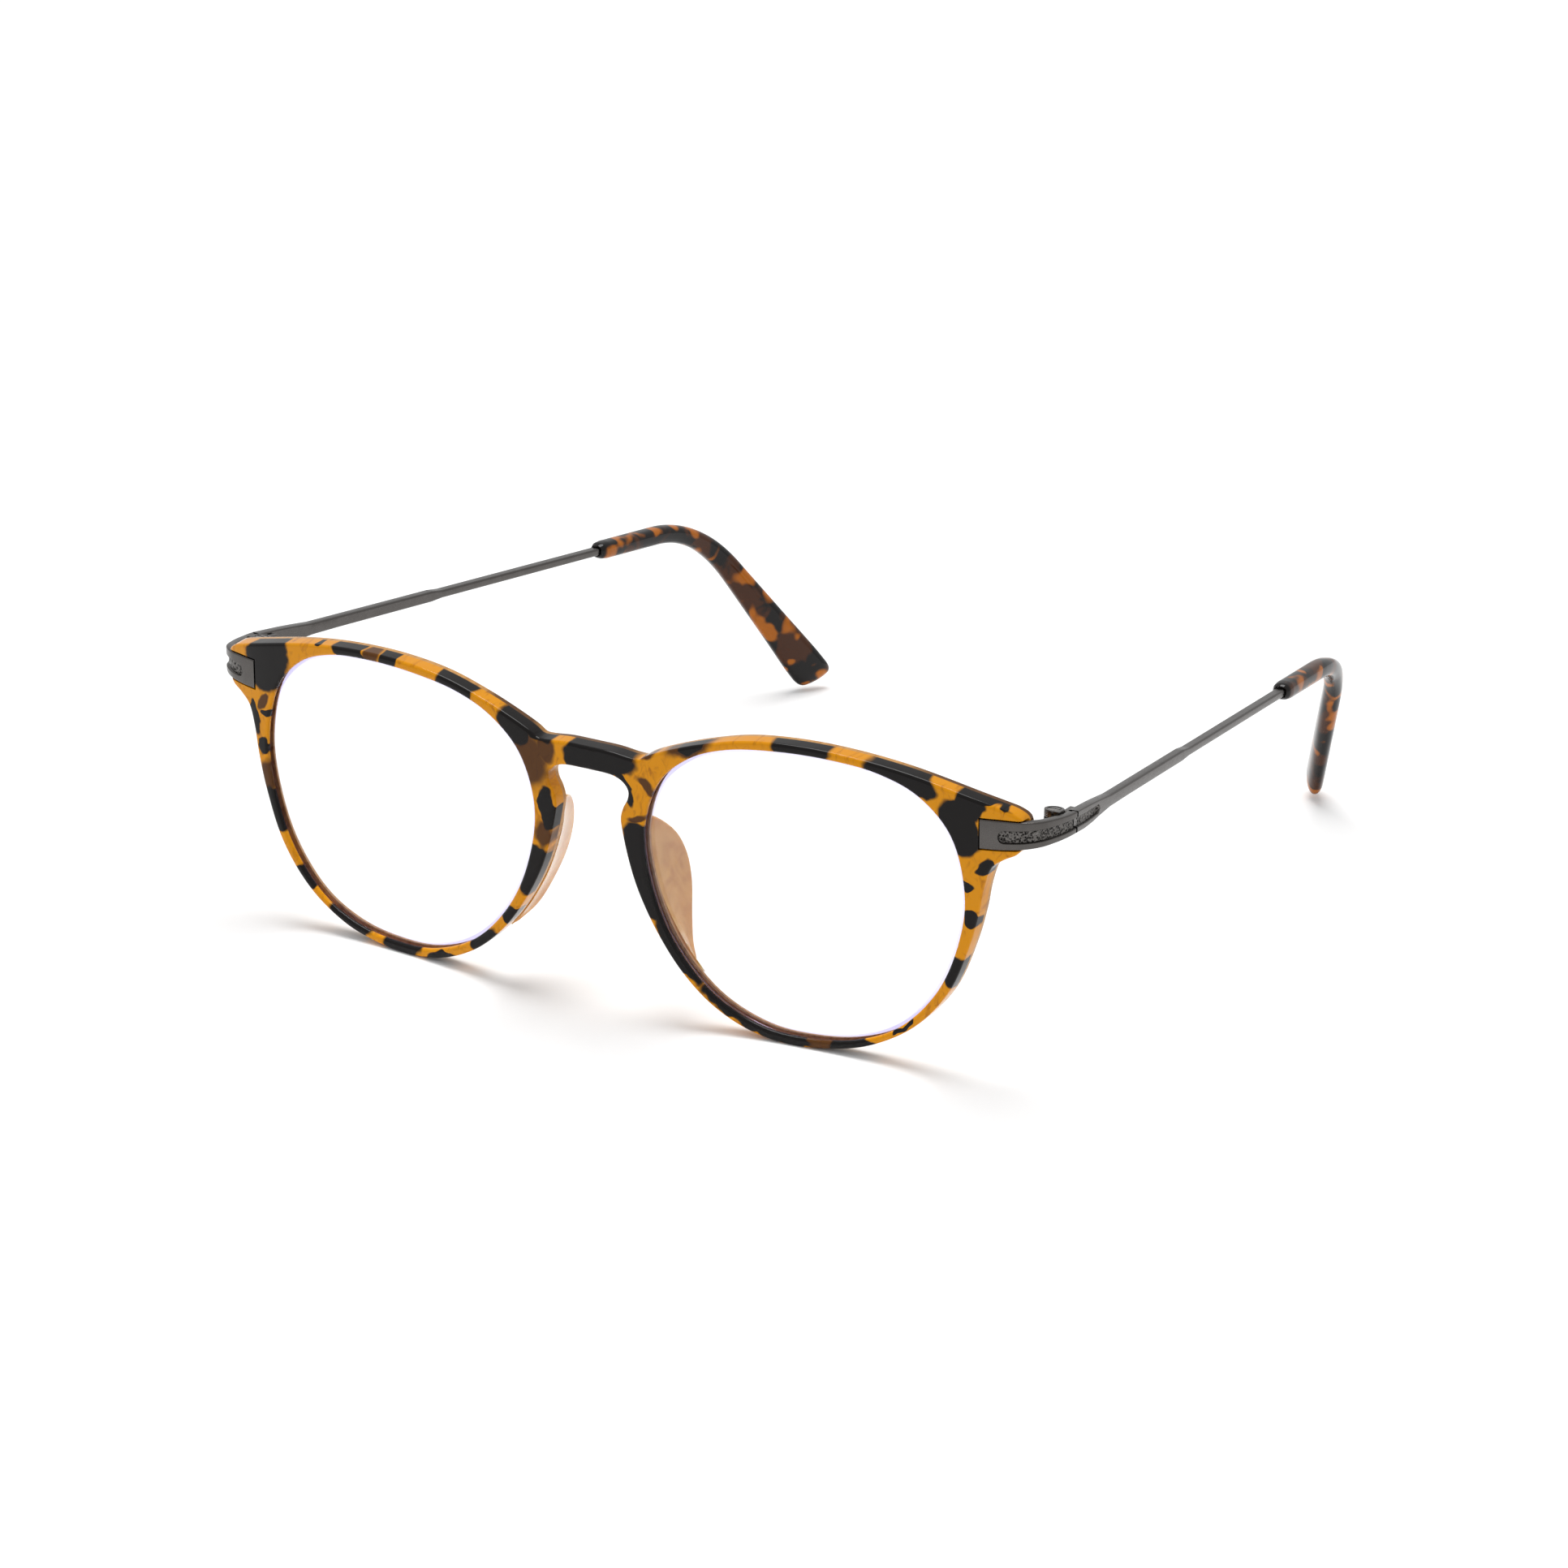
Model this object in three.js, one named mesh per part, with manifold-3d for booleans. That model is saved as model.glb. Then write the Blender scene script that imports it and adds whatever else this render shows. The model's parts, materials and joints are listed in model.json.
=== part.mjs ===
// Reading glasses with a keyhole bridge, round-ish plastic rims, metal endpieces and
// slim metal temples that fold on screw hinges. Millimetres, +Z up, the front faces -Y,
// the temples run back along +Y and the wearer's left side is +X.
//
// The front is drawn in its own upright frame: X sideways from the middle of the bridge,
// Y back from the front surface at the bridge, Z up along the lens plane from the lens
// centre line. Each temple is drawn in its hinge's frame: origin on the hinge axis,
// X outwards, Y back along the arm, Z along the axis. Only the +X side is drawn, and the
// other side is its mirror image.
import * as THREE from 'three';
import { mergeVertices } from 'three/addons/utils/BufferGeometryUtils.js';
import Module from 'manifold-3d';

const wasm = await Module();
wasm.setup();

// ---------- driving dimensions ----------

const LENS_WIDTH = 50;
const BRIDGE_WIDTH = 17;
const ARM_LENGTH = 110;           // from the seam behind the endpiece to the corner of the ear bend
const DROP_LENGTH = 37.7;         // from that corner to the end of the tip

const FRONT_THICKNESS = 3.5;
const FRONT_EDGE = 0.45;          // size of the broken edge round the rims
const FRONT_BOW = 0.00162;        // how fast the front curves back: y = FRONT_BOW * x * x
const END_WRAP = 0.014;           // and how much faster its two ends do, past WRAP_START
const WRAP_START = 58;
const FRONT_TILT = 4.5;           // degrees that the lens tops lean forward

const LENS_THICKNESS = 1.7;
const LENS_DOME = 1.0;            // how far the lens bulges in front of the rim's own curve
const LENS_SEAT = 0.5;            // how deep the lens edge sits in the rim
const LENS_GAP = 0.2;

const TEMPLE_SPLAY = -6.0;        // degrees, negative where the temples close in behind
const TEMPLE_DROP = 8.1;          // degrees below a square to the lens plane
const ARM_THICKNESS = 1.5;
const DROP_ANGLE = 50.4;          // degrees that the tip turns down at the ear
const CURL_ANGLE = 16.3;          // degrees that the tip turns in towards the head
const SLEEVE_START = 83.8;        // from the seam to the plastic tip
const TIP_SLANT = 0.3;            // how far the end of the tip leans towards level ground
const CORE_SIZE = 1.1;            // square wire inside the plastic tip
const CORE_END = 9;               // plastic left past the end of the wire

const HINGE_AXIS = [66.1, 16.65, 12.3];
const KNUCKLE_RADIUS = 1.45;
const KNUCKLE_HEIGHT = 1.1;
const KNUCKLE_GAP = 0.09;
const BARREL_LIFT = 0.12;         // from the middle of the arm to the middle of the barrel
const SCREW_RADIUS = 0.6;
const SCREW_HEAD_RADIUS = 0.95;
const BORE_CLEARANCE = 0.05;

const SEAM = 1.55;                // the arm starts this far behind the hinge axis
const SEAM_GAP = 0.12;
const TONGUE = [0.7, 1.2];        // length and height of the tongue that locates the arm
const ARM_OFFSET = KNUCKLE_RADIUS + 0.1 + ARM_THICKNESS / 2;
const FIT_GAP = 0.1;              // between pieces that are fixed to each other

const PAD_ROOT = 2.0;             // width of the nose pad where it leaves the rim
const STRIP_THICKNESS = 1.3;
const GROOVE_DEPTH = 0.38;
const GROOVE_START = 0.2;         // share of the strip's length in front of the groove

const RIVET_RADIUS = 0.55;
const RIVET_HEAD_RADIUS = 0.95;
const RIVET_X = 62.3;
const RIVET_HEIGHTS = { upper: 14.2, lower: 11.85 };

// How finely the curves are cut up.
const HALF_OUTLINE_STEPS = 78;
const OPENING_STEPS = 52;
const STRIP_STEPS = 14;
const TIP_STEPS = 20;
const CORE_STEPS = 14;
const TIP_SIDES = 12;
const DISC_SIDES = 20;
const RIVET_SIDES = 12;

// ---------- outlines: x outwards, z up, in the front's frame ----------

// Half of the front's outer edge, from the middle of the bridge round to the keyhole.
const FRONT_OUTLINE = [
  [0, 16.1], [4, 16.05], [7.3, 15.7], [8.4, 15.75], [9.6, 16.5], [12.5, 17.8], [18, 19.8], [25, 21.6],
  [33, 22.25], [41, 21.9], [49, 20.75], [57, 18.8], [62.3, 17.25], [64.5, 16.4], [65.7, 15.4],
  [66.0, 14.0], [65.9, 12.0], [65.1, 10.3], [63.3, 9.3], [61.7, 8.0], [60.7, 5.0],
  [60.0, 1.0], [58.6, -4.5], [55.6, -12.0], [50.6, -18.0], [44, -21.9], [38, -23.4], [32, -23.8],
  [26, -22.9], [20, -20.1], [15, -15.7], [11, -10.2], [8.1, -4.6], [6.6, -0.2], [5.6, 4.2],
  [5.35, 6.2], [5.8, 7.9], [6.5, 9.3], [6.6, 10.6], [5.8, 11.7], [4.2, 12.4], [0, 12.6],
];

// The lens opening, measured from the lens centre.
const OPENING_OUTLINE = [
  [24.4, 3.5], [22.3, 12.2], [17.6, 17.4], [11.7, 19.9], [5.0, 20.8], [-3.0, 20.8], [-11.2, 19.7],
  [-17.1, 17.3], [-21.9, 12.8], [-24.4, 5.0], [-23.3, -3.5], [-19.8, -11.5], [-13.5, -18.4],
  [-5.7, -21.9], [1.5, -22.4], [8.5, -21.4], [15.0, -18.3], [20.6, -11.8], [23.7, -3.5],
];

// The metal strip's outer surface, from the plate on the front round to the arm:
// x, y, z of its middle, and its height.
const STRIP_PATH = [
  [60.2, 5.84, 13.12, 4.45], [62.9, 6.6, 13.12, 4.4], [65.6, 7.8, 13.1, 4.15], [67.6, 9.8, 13.02, 3.85],
  [68.5, 12.7, 12.72, 3.6], [68.92, 15.9, 12.35, 3.35], [68.97, 18.5, 12.08, 3.2], [68.8, 20.1, 11.85, 3.2],
];

// The arm: distance behind the seam, top and bottom edge.
const ARM_PROFILE = [
  [0, 1.6, -1.6], [3, 1.52, -1.65], [6, 1.42, -1.45], [8.2, 1.3, -1.15], [12.5, 1.05, -0.8],
  [19, 1.03, -0.72], [41.5, 0.98, -0.68], [44, 0.76, -0.48], [SLEEVE_START + 1, 0.7, -0.46],
];

// The plastic tip: share of its length, height and thickness.
const SLEEVE_PROFILE = [
  [0, 1.9, 2.1], [0.01, 2.5, 2.8], [0.03, 2.8, 3.1], [0.32, 2.85, 3.05], [0.42, 3.05, 3.0],
  [0.6, 3.9, 2.9], [0.8, 5.2, 2.8], [0.92, 6.1, 2.7], [0.955, 6.1, 2.65], [0.98, 5.2, 2.2], [1, 3.2, 1.1],
];

// The nose pad in level slices: height, x where it leaves the rim, x and y of its rear edge.
const PAD_SLICES = [
  [6.2, 5.7, 6.0, 4.9], [4.4, 5.9, 7.4, 7.9], [1.4, 6.3, 8.75, 10.8], [-2.2, 7.3, 9.75, 12.1],
  [-6, 8.7, 10.65, 11.8], [-10.2, 10.9, 11.85, 9.8], [-13.4, 13.0, 13.2, 8.0], [-16.2, 15.3, 15.4, 6.0],
];

// ---------- small helpers ----------

const ACROSS = new THREE.Vector3(1, 0, 0);
const ALONG = new THREE.Vector3(0, 1, 0);
const UP = new THREE.Vector3(0, 0, 1);

const radians = (degrees) => degrees * Math.PI / 180;

function bow(x) {
  const past = Math.max(0, Math.abs(x) - WRAP_START);
  return FRONT_BOW * x * x + END_WRAP * past * past;
}

function bowSlope(x) {
  return 2 * FRONT_BOW * x + 2 * END_WRAP * Math.max(0, x - WRAP_START);
}

function solid(geometry) {
  const clean = geometry.clone();
  clean.deleteAttribute('normal');
  clean.deleteAttribute('uv');
  const merged = mergeVertices(clean, 1e-4);
  return new wasm.Manifold(new wasm.Mesh({
    numProp: 3,
    vertProperties: new Float32Array(merged.attributes.position.array),
    triVerts: new Uint32Array(merged.index.array),
  }));
}

function geometryOf(manifold) {
  const mesh = manifold.getMesh();
  const geometry = new THREE.BufferGeometry();
  geometry.setAttribute('position', new THREE.BufferAttribute(mesh.vertProperties, 3));
  geometry.setIndex(new THREE.BufferAttribute(mesh.triVerts, 1));
  return geometry;
}

function cut(base, ...tools) {
  return geometryOf(tools.reduce((left, tool) => left.subtract(solid(tool)), solid(base)));
}

function join(base, ...others) {
  return geometryOf(others.reduce((sum, other) => sum.add(solid(other)), solid(base)));
}

function mirrored(geometry) {
  const copy = geometry.index ? geometry.clone() : mergeVertices(geometry.clone());
  copy.scale(-1, 1, 1);
  const index = copy.index;
  for (let i = 0; i < index.count; i += 3) {
    const first = index.getX(i);
    index.setX(i, index.getX(i + 2));
    index.setX(i + 2, first);
  }
  return copy;
}

function box(x, y, z) {
  const geometry = new THREE.BoxGeometry(x[1] - x[0], y[1] - y[0], z[1] - z[0]);
  return geometry.translate((x[0] + x[1]) / 2, (y[0] + y[1]) / 2, (z[0] + z[1]) / 2);
}

// An upright round bar or disc along Z.
function disc(radius, bottom, top) {
  const geometry = new THREE.CylinderGeometry(radius, radius, top - bottom, DISC_SIDES);
  return geometry.rotateX(Math.PI / 2).translate(0, 0, (top + bottom) / 2);
}

// A closed skin over rings of points: the sides between rings and a flat fan at each end.
function loft(rings) {
  const sides = rings[0].length;
  const points = rings.flat();
  const faces = [];
  for (let ring = 0; ring < rings.length - 1; ring += 1) {
    for (let side = 0; side < sides; side += 1) {
      const a = ring * sides + side;
      const b = ring * sides + (side + 1) % sides;
      faces.push(a, b, b + sides, a, b + sides, a + sides);
    }
  }
  const last = (rings.length - 1) * sides;
  for (let side = 1; side < sides - 1; side += 1) {
    faces.push(0, side + 1, side);
    faces.push(last, last + side, last + side + 1);
  }
  const geometry = new THREE.BufferGeometry().setFromPoints(points);
  geometry.setIndex(faces);
  return geometry;
}

// A ring of points round a centre. across points sideways and up points up, and the ring
// turns from across towards up, so the loft has to run along across x up.
function rectangleRing(centre, across, up, width, height, corner) {
  const w = width / 2;
  const h = height / 2;
  const corners = [
    [w, -h + corner], [w, h - corner], [w - corner, h], [-w + corner, h],
    [-w, h - corner], [-w, -h + corner], [-w + corner, -h], [w - corner, -h],
  ];
  return corners.map(([s, t]) => centre.clone().addScaledVector(across, s).addScaledVector(up, t));
}

function roundedRing(centre, across, up, width, height, sides) {
  const ring = [];
  for (let i = 0; i < sides; i += 1) {
    const angle = 2 * Math.PI * i / sides;
    const soften = (value) => Math.sign(value) * Math.abs(value) ** 0.8;
    const s = soften(Math.cos(angle)) * width / 2;
    const t = soften(Math.sin(angle)) * height / 2;
    ring.push(centre.clone().addScaledVector(across, s).addScaledVector(up, t));
  }
  return ring;
}

// The value at a share of the way down a table with evenly spread rows.
function valueAt(table, share, column) {
  const row = share * (table.length - 1);
  const low = Math.min(Math.floor(row), table.length - 2);
  return THREE.MathUtils.lerp(table[low][column], table[low + 1][column], row - low);
}

// The value at a place along a table whose first column rises.
function lookUp(table, place, column) {
  const next = Math.max(1, table.findIndex((row) => row[0] >= place));
  const [before, after] = [table[next - 1], table[next]];
  const share = THREE.MathUtils.clamp((place - before[0]) / (after[0] - before[0]), 0, 1);
  return THREE.MathUtils.lerp(before[column], after[column], share);
}

// ---------- the plastic front ----------

function smooth(points, closed, steps) {
  const curve = new THREE.CatmullRomCurve3(points.map(([x, z]) => new THREE.Vector3(x, z, 0)), closed);
  curve.arcLengthDivisions = 1000;
  const spaced = curve.getSpacedPoints(steps).map((point) => new THREE.Vector2(point.x, point.y));
  return closed ? spaced.slice(0, -1) : spaced;
}

function frontOutline() {
  const half = smooth(FRONT_OUTLINE, false, HALF_OUTLINE_STEPS);
  const other = half.slice(1, -1).reverse().map((point) => new THREE.Vector2(-point.x, point.y));
  return [...half, ...other].reverse();
}

function openingOutline(width, side) {
  const scale = width / (LENS_WIDTH - 2 * LENS_SEAT);
  const centre = (LENS_WIDTH + BRIDGE_WIDTH) / 2;
  const points = smooth(OPENING_OUTLINE, true, OPENING_STEPS)
    .map((point) => new THREE.Vector2(side * (centre + scale * point.x), scale * point.y));
  return side > 0 ? points : points.reverse();
}

// Stands a flat outline up as a plate between two depths and curves it back with the front.
function bentPlate(outline, holes, near, far, edge) {
  const shape = new THREE.Shape(outline);
  shape.holes = holes.map((points) => new THREE.Path(points));
  const geometry = new THREE.ExtrudeGeometry(shape, {
    depth: far - near - 2 * edge,
    bevelEnabled: edge > 0,
    bevelSize: edge,
    bevelThickness: edge,
    bevelOffset: -edge,
    bevelSegments: 1,
    steps: 1,
  });
  geometry.translate(0, 0, edge).rotateX(Math.PI / 2).translate(0, far, 0);
  const position = geometry.attributes.position;
  for (let i = 0; i < position.count; i += 1) {
    position.setY(i, position.getY(i) + bow(position.getX(i)));
  }
  return geometry;
}

function lensSlot(side) {
  const middle = FRONT_THICKNESS / 2;
  const half = LENS_THICKNESS / 2 + LENS_GAP;
  const outer = openingOutline(LENS_WIDTH + 3 * LENS_GAP, side);
  const inner = openingOutline(LENS_WIDTH * 0.9, side);
  return bentPlate(outer, [inner], middle - half, middle + half, 0);
}

function frontFrame() {
  const openingWidth = LENS_WIDTH - 2 * LENS_SEAT;
  const openings = [1, -1].map((side) => openingOutline(openingWidth, side));
  const plate = bentPlate(frontOutline(), openings, 0, FRONT_THICKNESS, FRONT_EDGE);
  const strip = stripLoft(2 * FIT_GAP);
  const rivets = Object.values(RIVET_HEIGHTS).map((height) => rivetOnFront(height, FIT_GAP));
  const tools = [strip, ...rivets];
  return cut(plate, lensSlot(1), lensSlot(-1), ...tools, ...tools.map(mirrored));
}

// The lens: nested copies of its outline on a curved front and a curved back.
function lens() {
  const rim = openingOutline(LENS_WIDTH, 1);
  const centre = new THREE.Vector2((LENS_WIDTH + BRIDGE_WIDTH) / 2, 0);
  const scales = [1, 0.72, 0.36];
  const near = (FRONT_THICKNESS - LENS_THICKNESS) / 2;
  const ringAt = (scale, depth) => rim.map((point) => {
    const flat = point.clone().sub(centre).multiplyScalar(scale).add(centre);
    return new THREE.Vector3(flat.x, depth + bow(flat.x) - LENS_DOME * (1 - scale * scale), flat.y);
  });
  const front = scales.map((scale) => ringAt(scale, near)).reverse();
  const back = scales.map((scale) => ringAt(scale, near + LENS_THICKNESS));
  return loft([...back.reverse(), ...front.reverse()]);
}

// ---------- nose pads ----------

function nosePad() {
  const slices = PAD_SLICES.map(([height, baseX, rearX, rearY]) => {
    const start = FRONT_THICKNESS + FIT_GAP;
    const at = (x, y) => new THREE.Vector3(x, y, height);
    const halfTip = 0.5;
    return [
      at(baseX, start + bow(baseX)), at(baseX + PAD_ROOT, start + bow(baseX + PAD_ROOT)),
      at(rearX + halfTip, rearY - 2 * halfTip), at(rearX, rearY - halfTip), at(rearX - halfTip, rearY - 2 * halfTip),
    ];
  });
  return loft(slices.reverse());
}

// ---------- metal endpieces ----------

// Rings across the strip between two shares of its length. ringAt gives each ring's size and
// how far its middle is slid along the strip, sunk below the outer surface and lifted.
function stripRings(from, to, steps, ringAt) {
  const curve = new THREE.CatmullRomCurve3(STRIP_PATH.map(([x, y, z]) => new THREE.Vector3(x, y, z)));
  const rings = [];
  for (let i = 0; i <= steps; i += 1) {
    const share = THREE.MathUtils.lerp(from, to, i / steps);
    const along = curve.getTangent(share).normalize();
    const outward = new THREE.Vector3().crossVectors(along, UP).normalize();
    const up = new THREE.Vector3().crossVectors(outward, along);
    const { width, height, corner, slide = 0, sunk = 0, lift = 0 } = ringAt(share, i);
    const centre = curve.getPoint(share);
    centre.addScaledVector(along, slide).addScaledVector(outward, -sunk).addScaledVector(up, lift);
    rings.push(rectangleRing(centre, outward, up, width, height, corner).reverse());
  }
  return rings;
}

// The strip, swollen by a margin.
function stripLoft(margin) {
  return loft(stripRings(0, 1, STRIP_STEPS, (share, i) => ({
    width: STRIP_THICKNESS + 2 * margin,
    height: valueAt(STRIP_PATH, share, 3) + 2 * margin,
    corner: 0.15,
    slide: i === 0 ? -margin : 0,
    sunk: STRIP_THICKNESS / 2,
  })));
}

// The sunk band along the middle of the strip's outer surface, with a rounded start.
function stripGroove() {
  return loft(stripRings(GROOVE_START, 1, STRIP_STEPS, (share, i) => ({
    width: 2 * GROOVE_DEPTH,
    height: THREE.MathUtils.lerp(2.0, 1.5, share) * Math.sqrt(Math.min(1, 0.3 + i / 2)),
    corner: 0.05,
    lift: THREE.MathUtils.lerp(-0.25, 0, share),
  })));
}

function hingeMatrix() {
  const turn = new THREE.Euler(radians(-TEMPLE_DROP), 0, radians(-TEMPLE_SPLAY), 'ZXY');
  const matrix = new THREE.Matrix4().makeRotationFromEuler(turn);
  return matrix.setPosition(...HINGE_AXIS);
}

function endpiece() {
  const reach = [-1, 6];
  const beyond = box(reach, [SEAM - SEAM_GAP, 8], [-5, 5]);
  const notchHeight = TONGUE[1] / 2 + SEAM_GAP;
  const notch = box(reach, [SEAM - TONGUE[0] - SEAM_GAP, 8], [-notchHeight, notchHeight]);
  const seam = [beyond, notch].map((tool) => tool.applyMatrix4(hingeMatrix()));
  return cut(stripLoft(0), stripGroove(), ...seam);
}

// ---------- rivets that hold the endpiece to the plastic ----------

function rivet(margin) {
  const neck = FRONT_THICKNESS * Math.cos(Math.atan(bowSlope(RIVET_X))) + 0.05;
  const shank = RIVET_RADIUS + margin;
  const head = RIVET_HEAD_RADIUS + margin;
  const start = STRIP_THICKNESS + FIT_GAP - margin;
  const profile = [
    [0, start], [shank, start], [shank, neck - margin], [head, neck - margin],
    [head, neck + 0.2], [RIVET_RADIUS, neck + 0.45], [0, neck + 0.45],
  ];
  return new THREE.LatheGeometry(profile.map(([radius, y]) => new THREE.Vector2(radius, y)), RIVET_SIDES);
}

function rivetOnFront(height, margin) {
  return rivet(margin).rotateZ(Math.atan(bowSlope(RIVET_X))).translate(RIVET_X, bow(RIVET_X), height);
}

// ---------- hinges ----------

// Bottom and top of one of the three knuckles, counted from the top.
function knuckleSpan(place) {
  const top = 1.5 * KNUCKLE_HEIGHT + KNUCKLE_GAP + BARREL_LIFT;
  const start = top - place * (KNUCKLE_HEIGHT + KNUCKLE_GAP);
  return [start - KNUCKLE_HEIGHT, start];
}

// A knuckle with the neck that joins it to its leaf, in front of or behind the axis.
function knuckle(place, way) {
  const span = knuckleSpan(place);
  const neck = way > 0 ? [0, SEAM + 0.1] : [-SEAM - 0.1, 0];
  return [disc(KNUCKLE_RADIUS, ...span), box([0.55, KNUCKLE_RADIUS - 0.05], neck, span)];
}

function frontHinge() {
  const leaf = box([0.55, KNUCKLE_RADIUS], [-4.6, -SEAM], [-1.6, 1.4]);
  const knuckles = [...knuckle(0, -1), ...knuckle(2, -1)];
  const hole = disc(SCREW_RADIUS + BORE_CLEARANCE, -5, 5);
  const top = knuckleSpan(0)[1];
  const seat = disc(SCREW_HEAD_RADIUS + BORE_CLEARANCE, top - 0.4, top + 1);
  const strip = stripLoft(FIT_GAP).applyMatrix4(hingeMatrix().invert());
  return cut(join(leaf, ...knuckles), hole, seat, strip);
}

function templeHinge() {
  const leaf = box([0.55, KNUCKLE_RADIUS], [SEAM, 4.6], [-1.5, 1.25]);
  const hole = disc(SCREW_RADIUS + BORE_CLEARANCE, -5, 5);
  return cut(join(leaf, ...knuckle(1, 1)), hole);
}

function hingeScrew() {
  const top = knuckleSpan(0)[1] - 0.03;
  const shank = disc(SCREW_RADIUS, knuckleSpan(2)[0], top - 0.2);
  const head = disc(SCREW_HEAD_RADIUS, top - 0.34, top);
  const slot = box([-2, 2], [-0.14, 0.14], [top - 0.17, top + 1]);
  return cut(join(shank, head), slot);
}

// ---------- temples ----------

// The middle of the wire and tip from the start of the plastic tip to its end.
function tipPath(endShort = 0) {
  const centreZ = 0.12;
  const start = new THREE.Vector3(ARM_OFFSET, SEAM + SLEEVE_START, centreZ);
  const corner = new THREE.Vector3(ARM_OFFSET, SEAM + ARM_LENGTH, centreZ);
  const drop = new THREE.Vector3(
    -Math.sin(radians(CURL_ANGLE)),
    Math.cos(radians(CURL_ANGLE)) * Math.cos(radians(DROP_ANGLE)),
    -Math.cos(radians(CURL_ANGLE)) * Math.sin(radians(DROP_ANGLE)),
  );
  const bendReach = 11;
  const path = new THREE.CurvePath();
  const bendStart = corner.clone().addScaledVector(ALONG, -bendReach);
  const bendEnd = corner.clone().addScaledVector(drop, bendReach);
  const end = corner.clone().addScaledVector(drop, DROP_LENGTH - endShort);
  path.add(new THREE.LineCurve3(start, bendStart));
  path.add(new THREE.QuadraticBezierCurve3(bendStart, corner, bendEnd));
  path.add(new THREE.LineCurve3(bendEnd, end));
  return path;
}

// A ring across a path at a share of its length.
function ringAcross(path, share, ringOf) {
  const along = path.getTangentAt(share);
  const across = new THREE.Vector3().crossVectors(along, UP).normalize();
  const up = new THREE.Vector3().crossVectors(across, along);
  return ringOf(path.getPointAt(share), across, up, along);
}

function coreRings(margin) {
  const path = tipPath(CORE_END - margin);
  const size = CORE_SIZE + 2 * margin;
  const rings = [];
  for (let i = 0; i <= CORE_STEPS; i += 1) {
    rings.push(ringAcross(path, i / CORE_STEPS, (centre, across, up) => (
      rectangleRing(centre, across, up, size, size, 0.2)
    )));
  }
  return rings;
}

function armBody() {
  const rings = ARM_PROFILE.map(([distance, top, bottom]) => {
    const centre = new THREE.Vector3(ARM_OFFSET, SEAM + distance, (top + bottom) / 2);
    return rectangleRing(centre, ACROSS, UP, ARM_THICKNESS, top - bottom, 0.15);
  });
  return loft(rings.map((ring) => ring.reverse()));
}

function armGroove() {
  const outside = ARM_OFFSET + ARM_THICKNESS / 2;
  const stations = [[-1.5, 1.5], [2, 1.5], [5, 1.45], [7, 1.3], [7.8, 1.05], [8.3, 0.5]];
  const rings = stations.map(([distance, height]) => {
    const middle = lookUp(ARM_PROFILE, Math.max(0, distance), 1) + lookUp(ARM_PROFILE, Math.max(0, distance), 2);
    const centre = new THREE.Vector3(outside, SEAM + distance, middle / 2);
    return rectangleRing(centre, ACROSS, UP, 2 * GROOVE_DEPTH, height, 0.05);
  });
  return loft(rings.map((ring) => ring.reverse()));
}

function templeArm() {
  const half = ARM_THICKNESS / 2;
  const tongue = box(
    [ARM_OFFSET - half, ARM_OFFSET + half],
    [SEAM - TONGUE[0], SEAM + 0.5],
    [-TONGUE[1] / 2, TONGUE[1] / 2],
  );
  const core = loft(coreRings(0).map((ring) => ring.reverse()));
  return cut(join(armBody(), tongue, core), armGroove());
}

function templeTip() {
  const path = tipPath();
  const even = Array.from({ length: TIP_STEPS }, (_, i) => i / TIP_STEPS);
  const shares = [...SLEEVE_PROFILE.map((row) => row[0]), ...even].sort((a, b) => a - b);
  const rings = shares.filter((share, i) => i === 0 || share - shares[i - 1] > 0.004).map((share) => {
    const height = lookUp(SLEEVE_PROFILE, share, 1);
    const width = lookUp(SLEEVE_PROFILE, share, 2);
    const slant = TIP_SLANT * THREE.MathUtils.smoothstep(share, 0.8, 1);
    return ringAcross(path, share, (centre, across, up, along) => {
      const leaning = up.clone().addScaledVector(along, slant);
      return roundedRing(centre, across, leaning, width, height, TIP_SIDES).reverse();
    });
  });
  const bore = loft(boreRings().map((ring) => ring.reverse()));
  return cut(loft(rings), bore);
}

// The hollow for the wire, with its mouth carried out past the start of the tip.
function boreRings() {
  const rings = coreRings(FIT_GAP);
  const mouthTop = lookUp(ARM_PROFILE, SLEEVE_START, 1) + FIT_GAP;
  const mouthBottom = lookUp(ARM_PROFILE, SLEEVE_START, 2) - FIT_GAP;
  const mouth = [-1, 1.2].map((distance) => rectangleRing(
    new THREE.Vector3(ARM_OFFSET, SEAM + SLEEVE_START + distance, (mouthTop + mouthBottom) / 2),
    ACROSS,
    UP,
    ARM_THICKNESS + 2 * FIT_GAP,
    mouthTop - mouthBottom,
    0.15,
  ));
  return [...mouth, ...rings.slice(1)];
}

// ---------- materials ----------

const paint = (color, roughness, metalness = 0, opacity = 1) => new THREE.MeshStandardMaterial({
  color,
  roughness,
  metalness,
  opacity,
  transparent: opacity < 1,
});

const finishes = {
  tortoise: () => paint(0x8a5518, 0.15),
  honey: () => paint(0xdcae6c, 0.25, 0, 0.85),
  lens: () => paint(0xeef0f6, 0.03, 0, 0.2),
  gunmetal: () => paint(0x5f5a58, 0.3, 1),
  steel: () => paint(0x8c8a88, 0.25, 1),
  darkTortoise: () => paint(0x3d2418, 0.15),
};

// ---------- assembly ----------

const glasses = new THREE.Group();
const front = new THREE.Group();
front.rotation.x = radians(FRONT_TILT);
glasses.add(front);

function addPiece(group, name, geometry, finish) {
  const mesh = new THREE.Mesh(geometry, finishes[finish]());
  mesh.name = name;
  group.add(mesh);
}

addPiece(front, 'front_frame', frontFrame(), 'tortoise');

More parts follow.
